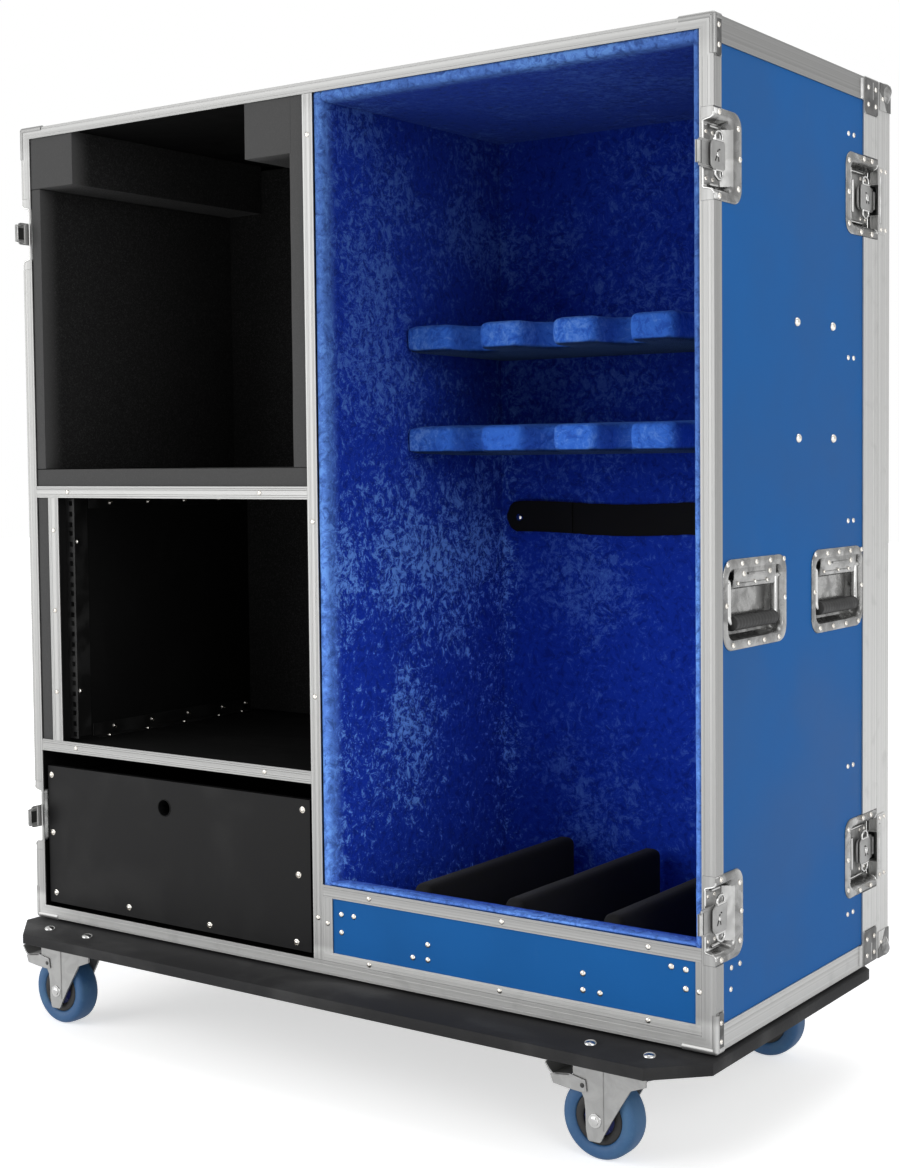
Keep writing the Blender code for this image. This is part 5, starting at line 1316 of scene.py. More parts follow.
@dataclass
class Latches:
    """The recessed butterfly latches: pressed dishes, sliding hooks and folding wings."""

    wall: float = 0.0012
    depth: float = 0.015
    half: float = 0.038
    floor_half: float = 0.0325

    def open_levels(self, kind: LatchKind) -> list[tuple[float, float, float, float]]:
        """Return the dish's levels from its rim to its floor, as (length, half height, corner, depth)."""
        rim = [(0.0, 0.018, 0.00178), (0.0001, 0.018, 0.0010)]
        rim += [(0.0007, 0.0174, 0.0004), (0.0020, 0.0162, 0.0001)]
        recess, half = kind.recess, self.half
        levels = [(kind.length - step, kind.half - step, corner, d) for step, corner, d in rim]
        return levels + [
            (recess + 0.0095, half + 0.0070, 0.0140, 0.0000),
            (recess + 0.0060, half + 0.0045, 0.0130, 0.0003),
            (recess + 0.0032, half + 0.0025, 0.0115, 0.0015),
            (recess + 0.0016, half + 0.0010, 0.0105, 0.0042),
            (recess - 0.0004, half - 0.0004, 0.0090, 0.0112),
            (recess - 0.0014, half - 0.0014, 0.0082, 0.0136),
            (recess - 0.0036, half - 0.0036, 0.0066, 0.0148),
            (recess - 0.0060, half - 0.0060, 0.0050, self.depth),
        ]

    def dish(self, label: str, kind: LatchKind, place: Place) -> Outline:
        """Build the dish, whose recess is open at the case's edge.

        Args:
            label: The latch's name.
            kind: Its kind.
            place: Its placing function.

        Returns:
            The dish's mouth at that edge, as (v, d) from one side round to the other.
        """
        form, start = Form(place), 0.0004
        loops, mouth = [], []
        for reach, high, corner, d in self.open_levels(kind):
            path = [(start, -high)] + arc((reach - corner, -high + corner), corner, 270, 360, 8)
            path += arc((reach - corner, high - corner), corner, 0, 90, 8) + [(start, high)]
            loops.append([(u, v, d) for u, v in path])
            mouth.append((high, d + 0.0004))
        form.loft(loops, closed=False, caps=False).face(loops[-1])
        form.piece(f"latch_dish_{label}", DISH_PLATE, "shell", shell=self.wall)
        return [(-v, d) for v, d in mouth[4:]] + mouth[:3:-1]

    def dish_fittings(self, label: str, kind: LatchKind, place: Place) -> None:
        """Build the dish and what is pressed into it: lip, rolled bead, far wall and floor pan, the far wall
        drawn in painted-highlight steel.
        """
        section = self.dish(label, kind, place)
        half, floor, recess = kind.half, self.floor_half, kind.recess
        edge = [(-half, 0.0008), (-half, 0.0162), (half, 0.0162), (half, 0.0008)]
        lip = Form(place).prism(edge + section[::-1], 0.0, 0.0012, "hab")
        lip.piece(f"latch_lip_{label}", FRAME_METAL, "shell")
        bead = Form(place)
        bead.tube([(kind.bead_u, v, min(d, self.depth - 0.0010)) for v, d in section], 0.0012)
        for v in (-floor, floor):
            bead.tube([(0.012, v, 0.0128), (recess - 0.014, v, 0.0128)], 0.0019)
        if kind is REAR_LATCH:
            keeper = [(0.056, -0.021), (0.056, 0.021), (0.070, 0.021), (0.070, -0.021)]
            bead.tube([(u, v, 0.0118) for u, v in keeper], 0.0018, closed=True)
        bead.piece(f"latch_bead_{label}", CHROME, "shell", smooth=60)
        # Painted highlight: the far wall is drawn paler than the dish, for the light that it catches.
        high = self.half - 0.0060
        faces = [(0.0026, 0.0010), (0.0008, 0.0050), (-0.0042, 0.0118), (-0.0060, 0.0139)]
        front = [[(recess + u, v, d) for u, d in faces] for v in (-high, high)]
        walls = [row + [(u + 0.0004, v, d + 0.0006) for u, v, d in row[::-1]] for row in front]
        Form(place).loft(walls).piece(f"latch_far_wall_{label}", PAINTED_HIGHLIGHT, "shell", smooth=50)
        radii = (0.002, 0.006, 0.006, 0.002)
        outline = rounded_rectangle((0.0015, -floor), (recess - 0.0060, floor), radii, 4)
        pan = Form(place).plate(outline, [(0.0, 0.0149), (0.0, 0.0144), (0.0006, 0.0140)])
        pan.piece(f"latch_pan_{label}", PAN_FLOOR, "shell")

    def hook(self, label: str, kind: LatchKind, place: Place) -> None:
        """Build the hook plate with its turned-down lip, slot and stiffening ridges; the lip and a ring on its
        inner face are drawn in painted-highlight steel, and the slot and the inside of the ring in black
        painted shade.
        """
        tip, tail = -(0.010 + kind.throw), kind.spindle + 0.0198 - kind.throw
        high, neck, top, thick = 0.016, 0.0125, 0.0085, 0.0025
        inner, ridge = top + thick, top + 0.0004
        body = f"latch_hook_{label}"
        outline = [(tip, -neck), (tip + 0.0050, -neck), (tip + 0.0062, -0.0150), (tip + 0.0090, -high)]
        outline += arc((tail - 0.009, -high + 0.009), 0.009, 270, 360, 5)
        outline += [(u, -v) for u, v in outline[::-1]]
        form = Form(place).plate(outline, [(0.0006, top), (0.0, top + 0.0006), (0.0, inner)])
        form.block((tip, -neck, top + 0.001), (tip + 0.0025, neck, top + 0.0035))
        for v in (-0.0130, 0.0130):
            form.tube([(tip + 0.011, v, ridge), (tail - 0.010, v, ridge)], 0.0009)
        form.piece(f"hook_plate_{label}", ZINC, body, (f"latch_hook_{label}",), bevel=0.0003)
        # Painted highlight: the lip and the ring on the hook's inner face are drawn in paler steel.
        lip, u = Form(place), tip + 0.0020
        lip.tube([(u, 0.001 - neck, ridge), (u, neck - 0.001, ridge)], 0.0018, 10)
        lip.block((u, 0.0006 - neck, top - 0.0003), (tip + 0.0064, neck - 0.0006, ridge))
        ring = [(0.0022, -0.0105), (0.0022, 0.0105), (0.0160, 0.0145), (0.0160, -0.0145)]
        lip.tube([(tip + u, v, inner + 0.0004) for u, v in ring], 0.0012, closed=True)
        lip.piece(f"hook_lip_{label}", PAINTED_HIGHLIGHT, body)
        # Painted shade: black strips where the slot and the inside of the ring lie in shade.
        slot = Form(place).block((tip + 0.0070, -neck, top - 0.0002), (tip + 0.0088, neck, top + 0.0006))
        slot.block((tip + 0.0042, -0.0085, inner - 0.0002), (tip + 0.0140, 0.0085, inner + 0.0005))
        slot.piece(f"hook_slot_{label}", SHADOW_BLACK, body)

    def wing(self, label: str, kind: LatchKind, place: Place) -> None:
        """Build the wing: a hub plate on its spindle with a folding loop at each end."""
        spindle = kind.spindle
        seat, body = facing((spindle, 0, 0), (0, 0, 1)), f"latch_wing_{label}"
        corners = (0.0090, 0.005, 0.005, 0.0090)
        outline = rounded_rectangle((spindle - 0.0150, -0.0165), (spindle + 0.0195, 0.0165), corners, 5)
        levels = [(0.0010, 0.0062), (0.0, 0.0058), (0.0, 0.0047), (0.0003, 0.0043), (0.0010, 0.0041)]
        hub = Form(place).plate(outline, levels).turned([(0.0035, 0.0052), (0.0035, 0.0146)], seat, 16)
        hub.piece(f"wing_hub_{label}", ZINC, body, (f"latch_wing_{label}",), bevel=0.0002)
        # Painted shade: black strips where the hub's slots lie in shade.
        slots = Form(place)
        cuts = ((-0.0020, -0.0010, 0.0070, 62), (0.0022, -0.0035, 0.0040, 105), (0.0045, 0.0062, 0.0012, 0))
        for u, v, long, turn in cuts:
            way = Vector((math.cos(math.radians(turn)), math.sin(math.radians(turn)))) * long
            middle = Vector((spindle + u, v))
            slots.tube([(*(middle - way), 0.0045), (*(middle + way), 0.0045)], 0.0011)
        slots.piece(f"wing_slots_{label}", SHADOW_BLACK, body)
        loops = Form(place)
        bends = [(-0.0035, 0.0165), (-0.0048, 0.0200), (-0.0035, 0.0235), (0.0025, 0.0268), (0.0085, 0.0268)]
        bends += [(0.0138, 0.0225), (0.0130, 0.0165)]
        for way in (-1, 1):
            loops.tube([(spindle + u, way * v, 0.0050) for u, v in bends], 0.0017)
            loops.tube([(spindle + u, way * 0.0168, 0.0048) for u in (-0.006, 0.014)], 0.0016, 10)
        head = [(0.17, 0.0025), (0.8, 0.0028), (1.0, 0.0036), (1.0, 0.0042)]
        loops.turned([(r * kind.boss, d) for r, d in head], seat, 18)
        loops.piece(f"wing_loops_{label}", CHROME, body, smooth=60)

    def rivets(self, label: str, kind: LatchKind, side: int, place: Place) -> None:
        """Build the rivets of the dish's rim and of its floor."""
        rivets = Fasteners(f"latch_rivets_{label}", "shell")
        for u, v in kind.rivets:
            rivets.rivet(place(u, v, 0.0), (side, 0, 0), 0.0036)
        for u in (0.008, 0.024):
            for v in (-0.026, 0.026):
                rivets.rivet(place(u, v, self.depth), (side, 0, 0), 0.0034)
        rivets.make(RIVET_METAL)

    def build(self) -> None:
        """Build all eight latches."""
        for kind in (FRONT_LATCH, REAR_LATCH):
            for side_name, side in SIDES.items():
                for level, z in LATCH_LEVELS.items():
                    label = f"{kind.name}_{side_name}_{level}"
                    place = wall_place(side, kind.start_y, kind.direction, z)
                    self.dish_fittings(label, kind, place)
                    self.hook(label, kind, place)
                    self.wing(label, kind, place)
                    self.rivets(label, kind, side, place)
                    if kind is REAR_LATCH:
                        self.keeper(label, side, place)

    def keeper(self, label: str, side: int, place: Place) -> None:
        """Build the keeper on the cover: a plate with a rolled edge where the hook enters, the roll drawn in
        painted-highlight steel with a black line of painted shade beside it.
        """
        outline = rounded_rectangle((-0.0285, -0.044), (-0.0008, 0.044), (0.005, 0.001, 0.001, 0.005), 4)
        plate = Form(place).plate(outline, [(0.0004, -0.0013), (0.0, -0.0009), (0.0, -0.0001)])
        plate.piece(f"keeper_plate_{label}", FRAME_METAL, "rear_cover")
        # The roll is painted highlight and the seam line is painted shade.
        bars = (
            ("roll", -0.0042, 0.0022, 10, PAINTED_HIGHLIGHT, 60),
            ("shade_line", -0.0078, 0.0010, 6, SHADOW_BLACK, 35),
        )
        for name, u, radius, segments, finish, smooth in bars:
            bar = Form(place).tube([(u, -0.031, -0.0012), (u, 0.031, -0.0012)], radius, segments)
            bar.piece(f"keeper_{name}_{label}", finish, "rear_cover", smooth=smooth)
        rivets = Fasteners(f"keeper_rivets_{label}", "rear_cover")
        for v in (0.0385, -0.0385):
            for u in (-0.0075, -0.0225):
                rivets.rivet(place(u, v, -0.0013), (side, 0, 0), 0.0030)
        rivets.make(RIVET_METAL)


@dataclass
class DropHandles:
    """The sprung handles: riveted dishes, bent wire bails and rubber grips."""

    plate: tuple[float, float] = (0.166, 0.105)
    recess: tuple[float, float] = (0.140, 0.078)
    corner: float = 0.020
    rear_reach: float = 0.0757
    pivot_depth: float = 0.0062
    pivot_rise: float = 0.0275
    drop: float = 0.0495
    bail_half: float = 0.061
    wire: float = 0.00368
    bend: float = 0.009
    grip: tuple[float, float] = (0.056, 0.0088)

    def dish(self, label: str, rear: bool, place: Place) -> None:
        """Build the dish: raised flange, drafted walls and a stepped floor."""
        half_u, half_v = self.plate[0] / 2, self.plate[1] / 2
        in_u, in_v = self.recess[0] / 2, self.recess[1] / 2
        reach = self.rear_reach if rear else half_u
        rim = ((0.0, 0.0, 0.00178), (0.0001, 0.0, 0.0010), (0.0008, 0.0008, 0.0003), (0.0022, 0.0018, 0.0))
        levels = [(half_u - s, reach - s, half_v - s, self.corner - c, d) for s, c, d in rim]
        for grow, clear, corner, d in ((0.0040, 0.0030, 0.0150, 0.0), (0.0022, 0.0036, 0.0140, 0.0004)):
            levels.append((in_u + grow, min(in_u + grow, reach - clear), in_v + grow, corner, d))
        wall = (
            (-0.0008, -0.0008, 0.0125, 0.0022), (0.0, 0.0, 0.0115, 0.0060), (0.0010, 0.0010, 0.0105, 0.0120),
            (0.0030, 0.0030, 0.0090, 0.0148), (0.0065, 0.0065, 0.0070, 0.0158),
            (0.0180, 0.0220, 0.0050, 0.0158), (0.0190, 0.0230, 0.0050, 0.0148),
        )
        levels += [(in_u - u, in_u - u, in_v - v, corner, d) for u, v, corner, d in wall]
        form = Form(place)
        loops = []
        for low_u, high_u, high_v, corner, d in levels:
            outline = rounded_rectangle((-low_u, -high_v), (high_u, high_v), (corner,) * 4, 8)
            loops.append([(u, v, d) for u, v in outline])
        form.loft(loops, caps=False).face(loops[-1])
        form.piece(f"handle_dish_{label}", DISH_PLATE, "shell", shell=0.0012)
        self.hood(label, place)

    def hood(self, label: str, place: Place) -> None:
        """Build the plate over the spring: a stepped sheet between the bail's arms with a pressed bar."""
        sections = [(0.0415, 0.0003), (0.0380, 0.0002), (0.0290, 0.0004), (0.0275, 0.0016), (0.0200, 0.0024)]
        sections += [(0.0180, 0.0044), (0.0172, 0.0090)]
        half = self.bail_half - 0.0070
        loops = []
        for u, drop in ((-half, 0.0012), (-half + 0.0010, 0.0), (half - 0.0010, 0.0), (half, 0.0012)):
            top = [(u, v, d + drop) for v, d in sections]
            loops.append(top + [(u, v, d + drop + 0.0010) for v, d in sections[::-1]])
        hood = Form(place).loft(loops)
        hood.tube([(-0.022, 0.0345, 0.0004), (0.024, 0.0345, 0.0004)], 0.0016)
        hood.tube([(-0.040, 0.0236, 0.0020), (0.040, 0.0236, 0.0020)], 0.0007)
        hood.piece(f"handle_hood_{label}", DISH_PLATE, "shell", smooth=40)

    def bail(self, label: str, place: Place) -> None:
        """Build the wire bail and its ribbed rubber grip."""
        outer = self.recess[0] / 2 + 0.0042
        bend, half, drop = self.bend, self.bail_half, self.drop
        path = [(-outer, 0.0)] + arc((-half - bend * 0.5, -bend * 0.5), bend * 0.5, 90, 0, 5)
        path += arc((-half + bend, -drop + bend), bend, 180, 270, 8)
        path += [(-u, v) for u, v in path[::-1]]
        body, rise, depth = f"handle_{label}", self.pivot_rise, self.pivot_depth
        wire = Form(place).tube([(u, v + rise, depth) for u, v in path], self.wire, 12)
        wire.piece(f"bail_wire_{label}", CHROME, body, (f"handle_bail_{label}",), smooth=60)
        loops = []
        steps, (long, radius) = 56, self.grip
        for i in range(steps + 1):
            u = -long + 2 * long * i / steps
            end = min(1.0, (long - abs(u)) / 0.004 + 0.55)
            ridge = 0.00035 if i % 4 < 2 and abs(u) < long - 0.006 else 0.0
            ring = [on_circle(radius * end - ridge, k, 20) for k in range(20)]
            loops.append([(u, rise - drop + b, depth + a) for a, b in ring])
        Form(place).loft(loops).piece(f"bail_grip_{label}", GRIP_RUBBER, body, smooth=50)

    def build(self) -> None:
        """Build all four handles with their rivets."""
        for side_name, side in SIDES.items():
            for end, y in HANDLE_ENDS.items():
                label = f"{side_name}_{end}"
                place = wall_place(side, y, 1, HANDLE_Z)
                self.dish(label, end == "rear", place)
                self.bail(label, place)
                rivets = Fasteners(f"handle_rivets_{label}", "shell")
                last = 0.070 if end == "rear" else 0.074
                spots = [(-0.074 + i * (last + 0.074) / 4, 0.0468) for i in range(5)]
                spots += [(-0.0765, 0.0), (last + (0.0 if end == "rear" else 0.0025), 0.0)]
                spots += [(-0.060 + i * 0.040, -0.0465) for i in range(4)]
                for u, v in spots:
                    rivets.rivet(place(u, v, 0.0), (side, 0, 0), 0.0034)
                upper = [(u, 0.0345, 0.0004, 0.0036) for u in (-0.032, 0.036)]
                for u, v, d, radius in upper + [(u, 0.0238, 0.0020, 0.0024) for u in (-0.044, 0.0, 0.032)]:
                    rivets.rivet(place(u, v, d), (side, 0, 0), radius)
                rivets.make(RIVET_METAL)


@dataclass
class Extrusions:
    """The aluminium frame: packed profiles with drawn ribs, corner braces, ball corners and rivets."""

    rib: float = 0.00022
    brace: float = 0.046

    def strip(self, form: Form, low: Point, high: Point, out: Point) -> None:
        """Add one half-round rib from low to high, standing proud along out."""
        radius = self.rib * 2.2
        sunk = Vector(out) * (self.rib - radius)
        form.tube([Vector(low) + sunk, Vector(high) + sunk], radius)

    def clear_spans(self, kind: LatchKind) -> list[tuple[float, float]]:
        """Return the stretches of an upright that the braces and the latch dishes leave free."""
        half = kind.half + 0.0010
        cuts = sorted((z - half, z + half) for z in LATCH_LEVELS.values())
        edges = [self.brace, *(e for cut in cuts for e in cut), HEIGHT - self.brace]
        return list(zip(edges[::2], edges[1::2]))

    def shell_ribs(self) -> None:
        """Add the ribs of the front frame, the long angles and the parting band."""
        form, w, band = Form(), HALF_WIDTH, (0.4225, 0.4300, 0.4500, 0.4545)
        for side in (-1, 1):
            for low, high in self.clear_spans(FRONT_LATCH):
                for inward in (0.0035, 0.0075, 0.0140):
                    x = side * (w - inward)
                    self.strip(form, (x, 0, low), (x, 0, high), (0, -1, 0))
                for y in (0.0045, 0.0120, 0.0160):
                    self.strip(form, (side * w, y, low), (side * w, y, high), (side, 0, 0))
            for low, high in self.clear_spans(REAR_LATCH):
                for y in band:
                    self.strip(form, (side * w, y, low), (side * w, y, high), (side, 0, 0))
            for z in (0.004, 0.022, 0.0275, HEIGHT - 0.004, HEIGHT - 0.022, HEIGHT - 0.0275):
                self.strip(form, (side * w, 0.020, z), (side * w, 0.419, z), (side, 0, 0))
            for inward in (0.004, 0.022, 0.0275):
                x = side * (w - inward)
                self.strip(form, (x, 0.020, HEIGHT), (x, 0.419, HEIGHT), (0, 0, 1))
        reach = w - self.brace
        for z in (0.0035, 0.0120, HEIGHT - 0.0035, HEIGHT - 0.0115):
            self.strip(form, (-reach, 0, z), (reach, 0, z), (0, -1, 0))
        for y in (0.0045, 0.0150, *band):
            self.strip(form, (-reach, y, HEIGHT), (reach, y, HEIGHT), (0, 0, 1))
        form.piece("frame_ribs", FRAME_METAL, "shell", smooth=60)

    def cover_ribs(self) -> None:
        """Add the ribs of the cover's frame, which its keepers and ball corners interrupt."""
        form, w, back, corner = Form(), HALF_WIDTH, CASE_BACK, 0.036
        for side in (-1, 1):
            for y in (0.4745, 0.4960):
                for low, high in ((corner, 0.130), (0.174, 0.994), (1.038, HEIGHT - corner)):
                    self.strip(form, (side * w, y, low), (side * w, y, high), (side, 0, 0))
            for inward in (0.004, 0.0225, 0.0275):
                x = side * (w - inward)
                self.strip(form, (x, back, corner), (x, back, HEIGHT - corner), (0, 1, 0))
        for z in (0.004, 0.0225, 0.0275, HEIGHT - 0.004, HEIGHT - 0.0225, HEIGHT - 0.0275):
            self.strip(form, (corner - w, back, z), (w - corner, back, z), (0, 1, 0))
        form.piece("cover_ribs", FRAME_METAL, "rear_cover", smooth=60)

    def braces(self) -> None:
        """Add pressed corner braces on the front frame and the parting band with their rivets."""
        form, rivets = Form(), Fasteners("brace_rivets", "shell")
        lifts, front, band = (-0.0004, 0.0013), (0.0018, 0.0172), (0.4220, 0.4650)
        for side, z, level in case_corners():
            for low, high in (front, band):
                outline = rounded_rectangle((low, 0.0), (high, self.brace), (0.001, 0.001, 0.005, 0.005), 4)
                form.loft([[(side * (HALF_WIDTH + p), y, z + level * h) for y, h in outline] for p in lifts])
                middle = (low + high) / 2
                spots = [middle] if low == front[0] else [middle - 0.012, middle + 0.012]
                for h in (0.012, 0.034):
                    for y in spots:
                        point = case_point(side * (HALF_WIDTH + lifts[1]), y, z + level * h)
                        rivets.rivet(point, (side, 0, 0), 0.0032)
            if level < 0:
                near, far = sorted((side * HALF_WIDTH, side * (HALF_WIDTH - self.brace)))
                for low, high in (front, band):
                    outline = rounded_rectangle((near, low), (far, high), (0.003,) * 4, 3)
                    form.loft([[(x, y, z + p) for x, y in outline] for p in lifts])
        form.piece("corner_braces", BRACE_ZINC, "shell", bevel=0.0004)
        rivets.make(RIVET_METAL)

    def rolls(self) -> None:
        """Add the clamps beside the parting band, drawn in painted-highlight steel, and the rolled edges of
        the front corners.
        """
        clamps, rolls, radius = Form(), Form(), 0.0044
        profile = [(max(0.0002, a), b) for a, b in arc((0.0, 0.0), radius, -90, 90, 8)]
        for side, z, level in case_corners():
            for low, high, reach in ((0.4050, 0.4190, 0.030), (0.4440, 0.4520, 0.026)):
                x, y = side * (HALF_WIDTH - 0.0005), (low + high) / 2
                clamps.tube([(x, y, z + level * h) for h in (0.0035, reach)], (high - low) / 4, 10)
            corner = (side * (HALF_WIDTH - 0.0020), 0.0030, z + level * 0.0020)
            for step in ((-side * 0.042, 0, 0), (0, 0.014, 0), (0, 0, level * 0.042)):
                rolls.tube([corner, [c + s for c, s in zip(corner, step)]], radius, 12)
            rolls.turned(profile, Matrix.Translation(Vector(corner)), 12)
        clamps.piece("brace_clamps", PAINTED_HIGHLIGHT, "shell", smooth=60)
        rolls.piece("brace_rolls", FRAME_METAL, "shell", smooth=60)

    def ball_corners(self) -> None:
        """Add chromed egg-shaped ball corners, with painted shade on their lower faces, and their three leaves
        on the cover.
        """
        balls, leaves = Form(), Form()
        rivets = Fasteners("ball_corner_rivets", "rear_cover")
        large, small, inward = 0.0180, 0.0116, 0.0131
        near = (inward - 0.0067) * math.sqrt(3)
        tilt = math.degrees(math.asin((large - small) / near))
        profile = arc((0.0, 0.0), large, -89, tilt, 12) + arc((0.0, near), small, tilt, 89.5, 12)
        leaf, short, proud, down, in_from = 0.036, 0.013, 0.0010, 0.020, 0.028
        notch = leaf * 0.62
        outline = [(0.0, 0.0), (leaf, 0.0), (leaf, short), (notch, notch), (short, leaf), (0.0, leaf)]
        for side, z, level in case_corners():
            centre = (side * (HALF_WIDTH - inward), CASE_BACK - inward, z + level * inward)
            balls.turned(profile, facing(centre, (side, 1, -level)), 32)
            x, y, end = side * (HALF_WIDTH + proud), CASE_BACK + proud, z - level * proud
            on_side, on_back, on_end = [], [], []
            for lift in (-0.0006, 0.0003):
                on_side.append([(x + side * lift, y - a, end + level * b) for a, b in outline])
                on_back.append([(x - side * a, y + lift, end + level * b) for a, b in outline])
                on_end.append([(x - side * a, y - b, end - level * lift) for a, b in outline])
            for loops in (on_side, on_back, on_end):
                leaves.loft(loops)
            rivets.rivet(case_point(x, y - in_from, z + level * down), (side, 0, 0), 0.0030)
            rivets.rivet(case_point(x - side * in_from, y, z + level * down), (0, 1, 0), 0.0030)
        balls.piece("ball_corners", BALL_CHROME, "rear_cover", smooth=60)
        leaves.piece("ball_corner_leaves", BRACE_ZINC, "rear_cover", bevel=0.0003)
        rivets.make(RIVET_METAL)

    def rivets(self) -> None:
        """Add the rivets of the side boards, the fascia, the mullion, the rails and the braces."""
        shell = Fasteners("panel_rivets", "shell")
        face = HALF_WIDTH - PANEL_OUT
        pairs = [(y, z) for z in (1.0906, 0.805, 0.595, 0.275, 0.080) for y in (0.374, 0.391)]
        for side in (-1, 1):
            for y, z in pairs + [(0.041, 0.090), (0.0627, 0.090), (0.0396, 0.065)]:
                shell.rivet(case_point(side * face, y, z), (side, 0, 0), 0.0034)
        for y, z in ((0.219, 0.842), (0.324, 0.842), (0.2227, 0.701), (0.326, 0.701)):
            shell.bolt(case_point(face, y, z), (1, 0, 0), 0.0058)
        fascia = [(0.020, 0.083), (0.041, 0.083), (0.020, 0.059), (0.161, 0.064), (0.137, 0.044)]
        fascia += [(0.161, 0.0445), (0.3916, 0.0645), (0.3915, 0.0443), (0.4154, 0.0442)]
        fascia += [(0.5114, 0.0918), (0.5304, 0.091), (0.5303, 0.0685)]
        for x, z in fascia:
            shell.rivet(case_point(x, PANEL_OUT, z), (0, -1, 0), 0.0040)
        border = [(x, 0.1107) for x in (0.0677, 0.276, 0.482)]
        border += [(x, 0.0238) for x in (0.067, 0.272, 0.4815)] + [(-0.0021, 0.0687), (0.5485, 0.0685)]
        border += [(-0.486, 0.6370), (-0.111, 0.6370), (-0.479, 0.2602), (-0.1095, 0.2602)]
        border += [(-0.0184, z) for z in (1.102, 0.5995, 0.3685, 0.074)]
        border += [(-0.5172, z) for z in (0.5806, 0.4619, 0.341)]
        for x, z in border:
            shell.rivet(case_point(x, 0.0, z), (0, -1, 0), 0.0036)
        shell.make(RIVET_METAL)

    def trim(self) -> None:
        """Build the mullion, the rails, the partition's cap and the fascia's border with their ribs."""
        low, high = 0.0178, HEIGHT - 0.0153
        left, right = -HALF_WIDTH + 0.0183, HALF_WIDTH - 0.0183
        mullion, top = (-0.0269, -0.0099), 0.1193
        start, upper, lower = mullion[1] + 0.0001, top - 0.0167, low + 0.0122
        post = Form().block((mullion[0], 0.0, low), (mullion[1], SKIN, high))
        cap_middle = (PARTITION_LEFT + PARTITION_RIGHT) / 2 - SKIN
        cap = (cap_middle - 0.0105, cap_middle + 0.0105)
        post.block((cap[0], 0.0, 0.2687), (cap[1], SKIN, 0.6285))
        post.block((start, 0.0, lower), (mullion[1] + 0.0160, SKIN, upper))
        post.block((right - 0.008, 0.0, lower), (right, SKIN, upper))
        for x0, x1, z0, z1 in ((*mullion, low, high), (*cap, 0.269, 0.628)):
            for x in (x0 + 0.003, x0 + 0.0055, x1 - 0.0055, x1 - 0.003):
                self.strip(post, (x, 0.0, z0), (x, 0.0, z1), (0, -1, 0))
        post.piece("front_posts", POST_METAL, "shell", ("front_trim",), bevel=0.0003)
        rails = Form()
        for shelf in (AMP_SHELF_TOP, RACK_SHELF_TOP):
            middle = shelf - INNER_PLY / 2
            rails.block((left, 0.0, middle - 0.0085), (mullion[0] - 0.0001, SKIN, middle + 0.0085))
            for z in (middle - 0.0058, middle - 0.0033, middle + 0.0033, middle + 0.0058):
                self.strip(rails, (left, 0.0, z), (mullion[0], 0.0, z), (0, -1, 0))
        rails.block((start, 0.0, low), (right, SKIN, lower)).block((start, 0.0, upper), (right, SKIN, top))
        for z in (low + 0.003, low + 0.0095, top - 0.0140, top - 0.0035):
            self.strip(rails, (mullion[1], 0.0, z), (right, 0.0, z), (0, -1, 0))
        rails.piece("front_rails", RAIL_METAL, "shell", bevel=0.0003)

    def build(self) -> None:
        """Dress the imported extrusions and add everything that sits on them."""
        dress(FRAME_METAL, "front_frame", "edge_frame", "cover_frame", bevel=0.0004)
        self.trim()
        self.shell_ribs()
        self.cover_ribs()
        self.braces()
        self.rolls()
        self.ball_corners()
        self.rivets()


@dataclass
class Drawer:
    """The drawer: its box, its front board with screws, its finger hole and its runners."""

    hole: tuple[float, float] = (-0.306, 0.189)
    hole_radius: float = 0.0115

    def build(self) -> None:
        """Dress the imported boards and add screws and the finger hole's ring."""
        dress(DRAWER_BLACK, "drawer_box", "drawer_front", bevel=0.0006)
        screws = Fasteners("drawer_screws", "drawer")
        spots = [(-0.5395, 0.2145), (-0.5385, 0.128), (-0.534, 0.0375), (-0.380, 0.036), (-0.221, 0.033)]
        spots += [(-0.0615, 0.033), (-0.0564, 0.125), (-0.0480, 0.2140)]
        for x, z in spots:
            screws.screw(case_point(x, 0.006, z), (0, -1, 0), 0.0048)
        screws.make(RIVET_METAL)
        edge = [(-0.0002, 0.0), (0.0012, 0.0), (0.0010, 0.0006), (0.0003, 0.0008), (-0.0002, 0.0005)]
        profile = [(self.hole_radius + out, h) for out, h in edge]
        seat = facing((self.hole[0], 0.006, self.hole[1]), (0, -1, 0))
        Form().turned(profile, seat, 32, closed=True).piece("finger_hole_edge", BOARD, "drawer", smooth=60)


@dataclass
class RackBay:
    """The rack bay: punched rails, their bolts and the angle that holds the partition."""

    def build(self) -> None:
        """Dress the rails and add bolts and angles."""
        dress(RACK_COAT, "rack_rail_left", "rack_rail_right", bevel=0.0002)
        angles, bolts, face = Form(), Fasteners("rack_bolts", "shell"), PARTITION_RIGHT
        near, thick, leg = 0.0002, 0.0017, 0.0200
        outline = [(near, near), (leg, near), (leg, thick), (thick, thick), (thick, leg), (near, leg)]
        for z, up in ((RACK_SHELF_TOP, 1), (AMP_SHELF_TOP - INNER_PLY, -1)):
            angles.loft([[(face + a, y, z + up * b) for a, b in outline] for y in (0.062, 0.395)])
            for y in (0.085, 0.165, 0.245, 0.325, 0.380):
                bolts.screw(case_point(face + 0.012, y, z + up * thick), (0, 0, up), 0.0042)
                bolts.screw(case_point(face + thick, y + 0.02, z + up * 0.012), (1, 0, 0), 0.0042)
        angles.piece("partition_angles", RACK_COAT, "shell", bevel=0.0003)
        for z in (0.5628, 0.3394):
            bolts.bolt(case_point(face + 0.0023, 0.036, z), (1, 0, 0), 0.0045)
            bolts.bolt(case_point(WALL_LEFT - 0.0023, 0.036, z), (-1, 0, 0), 0.0045)
        bolts.make(RIVET_METAL)


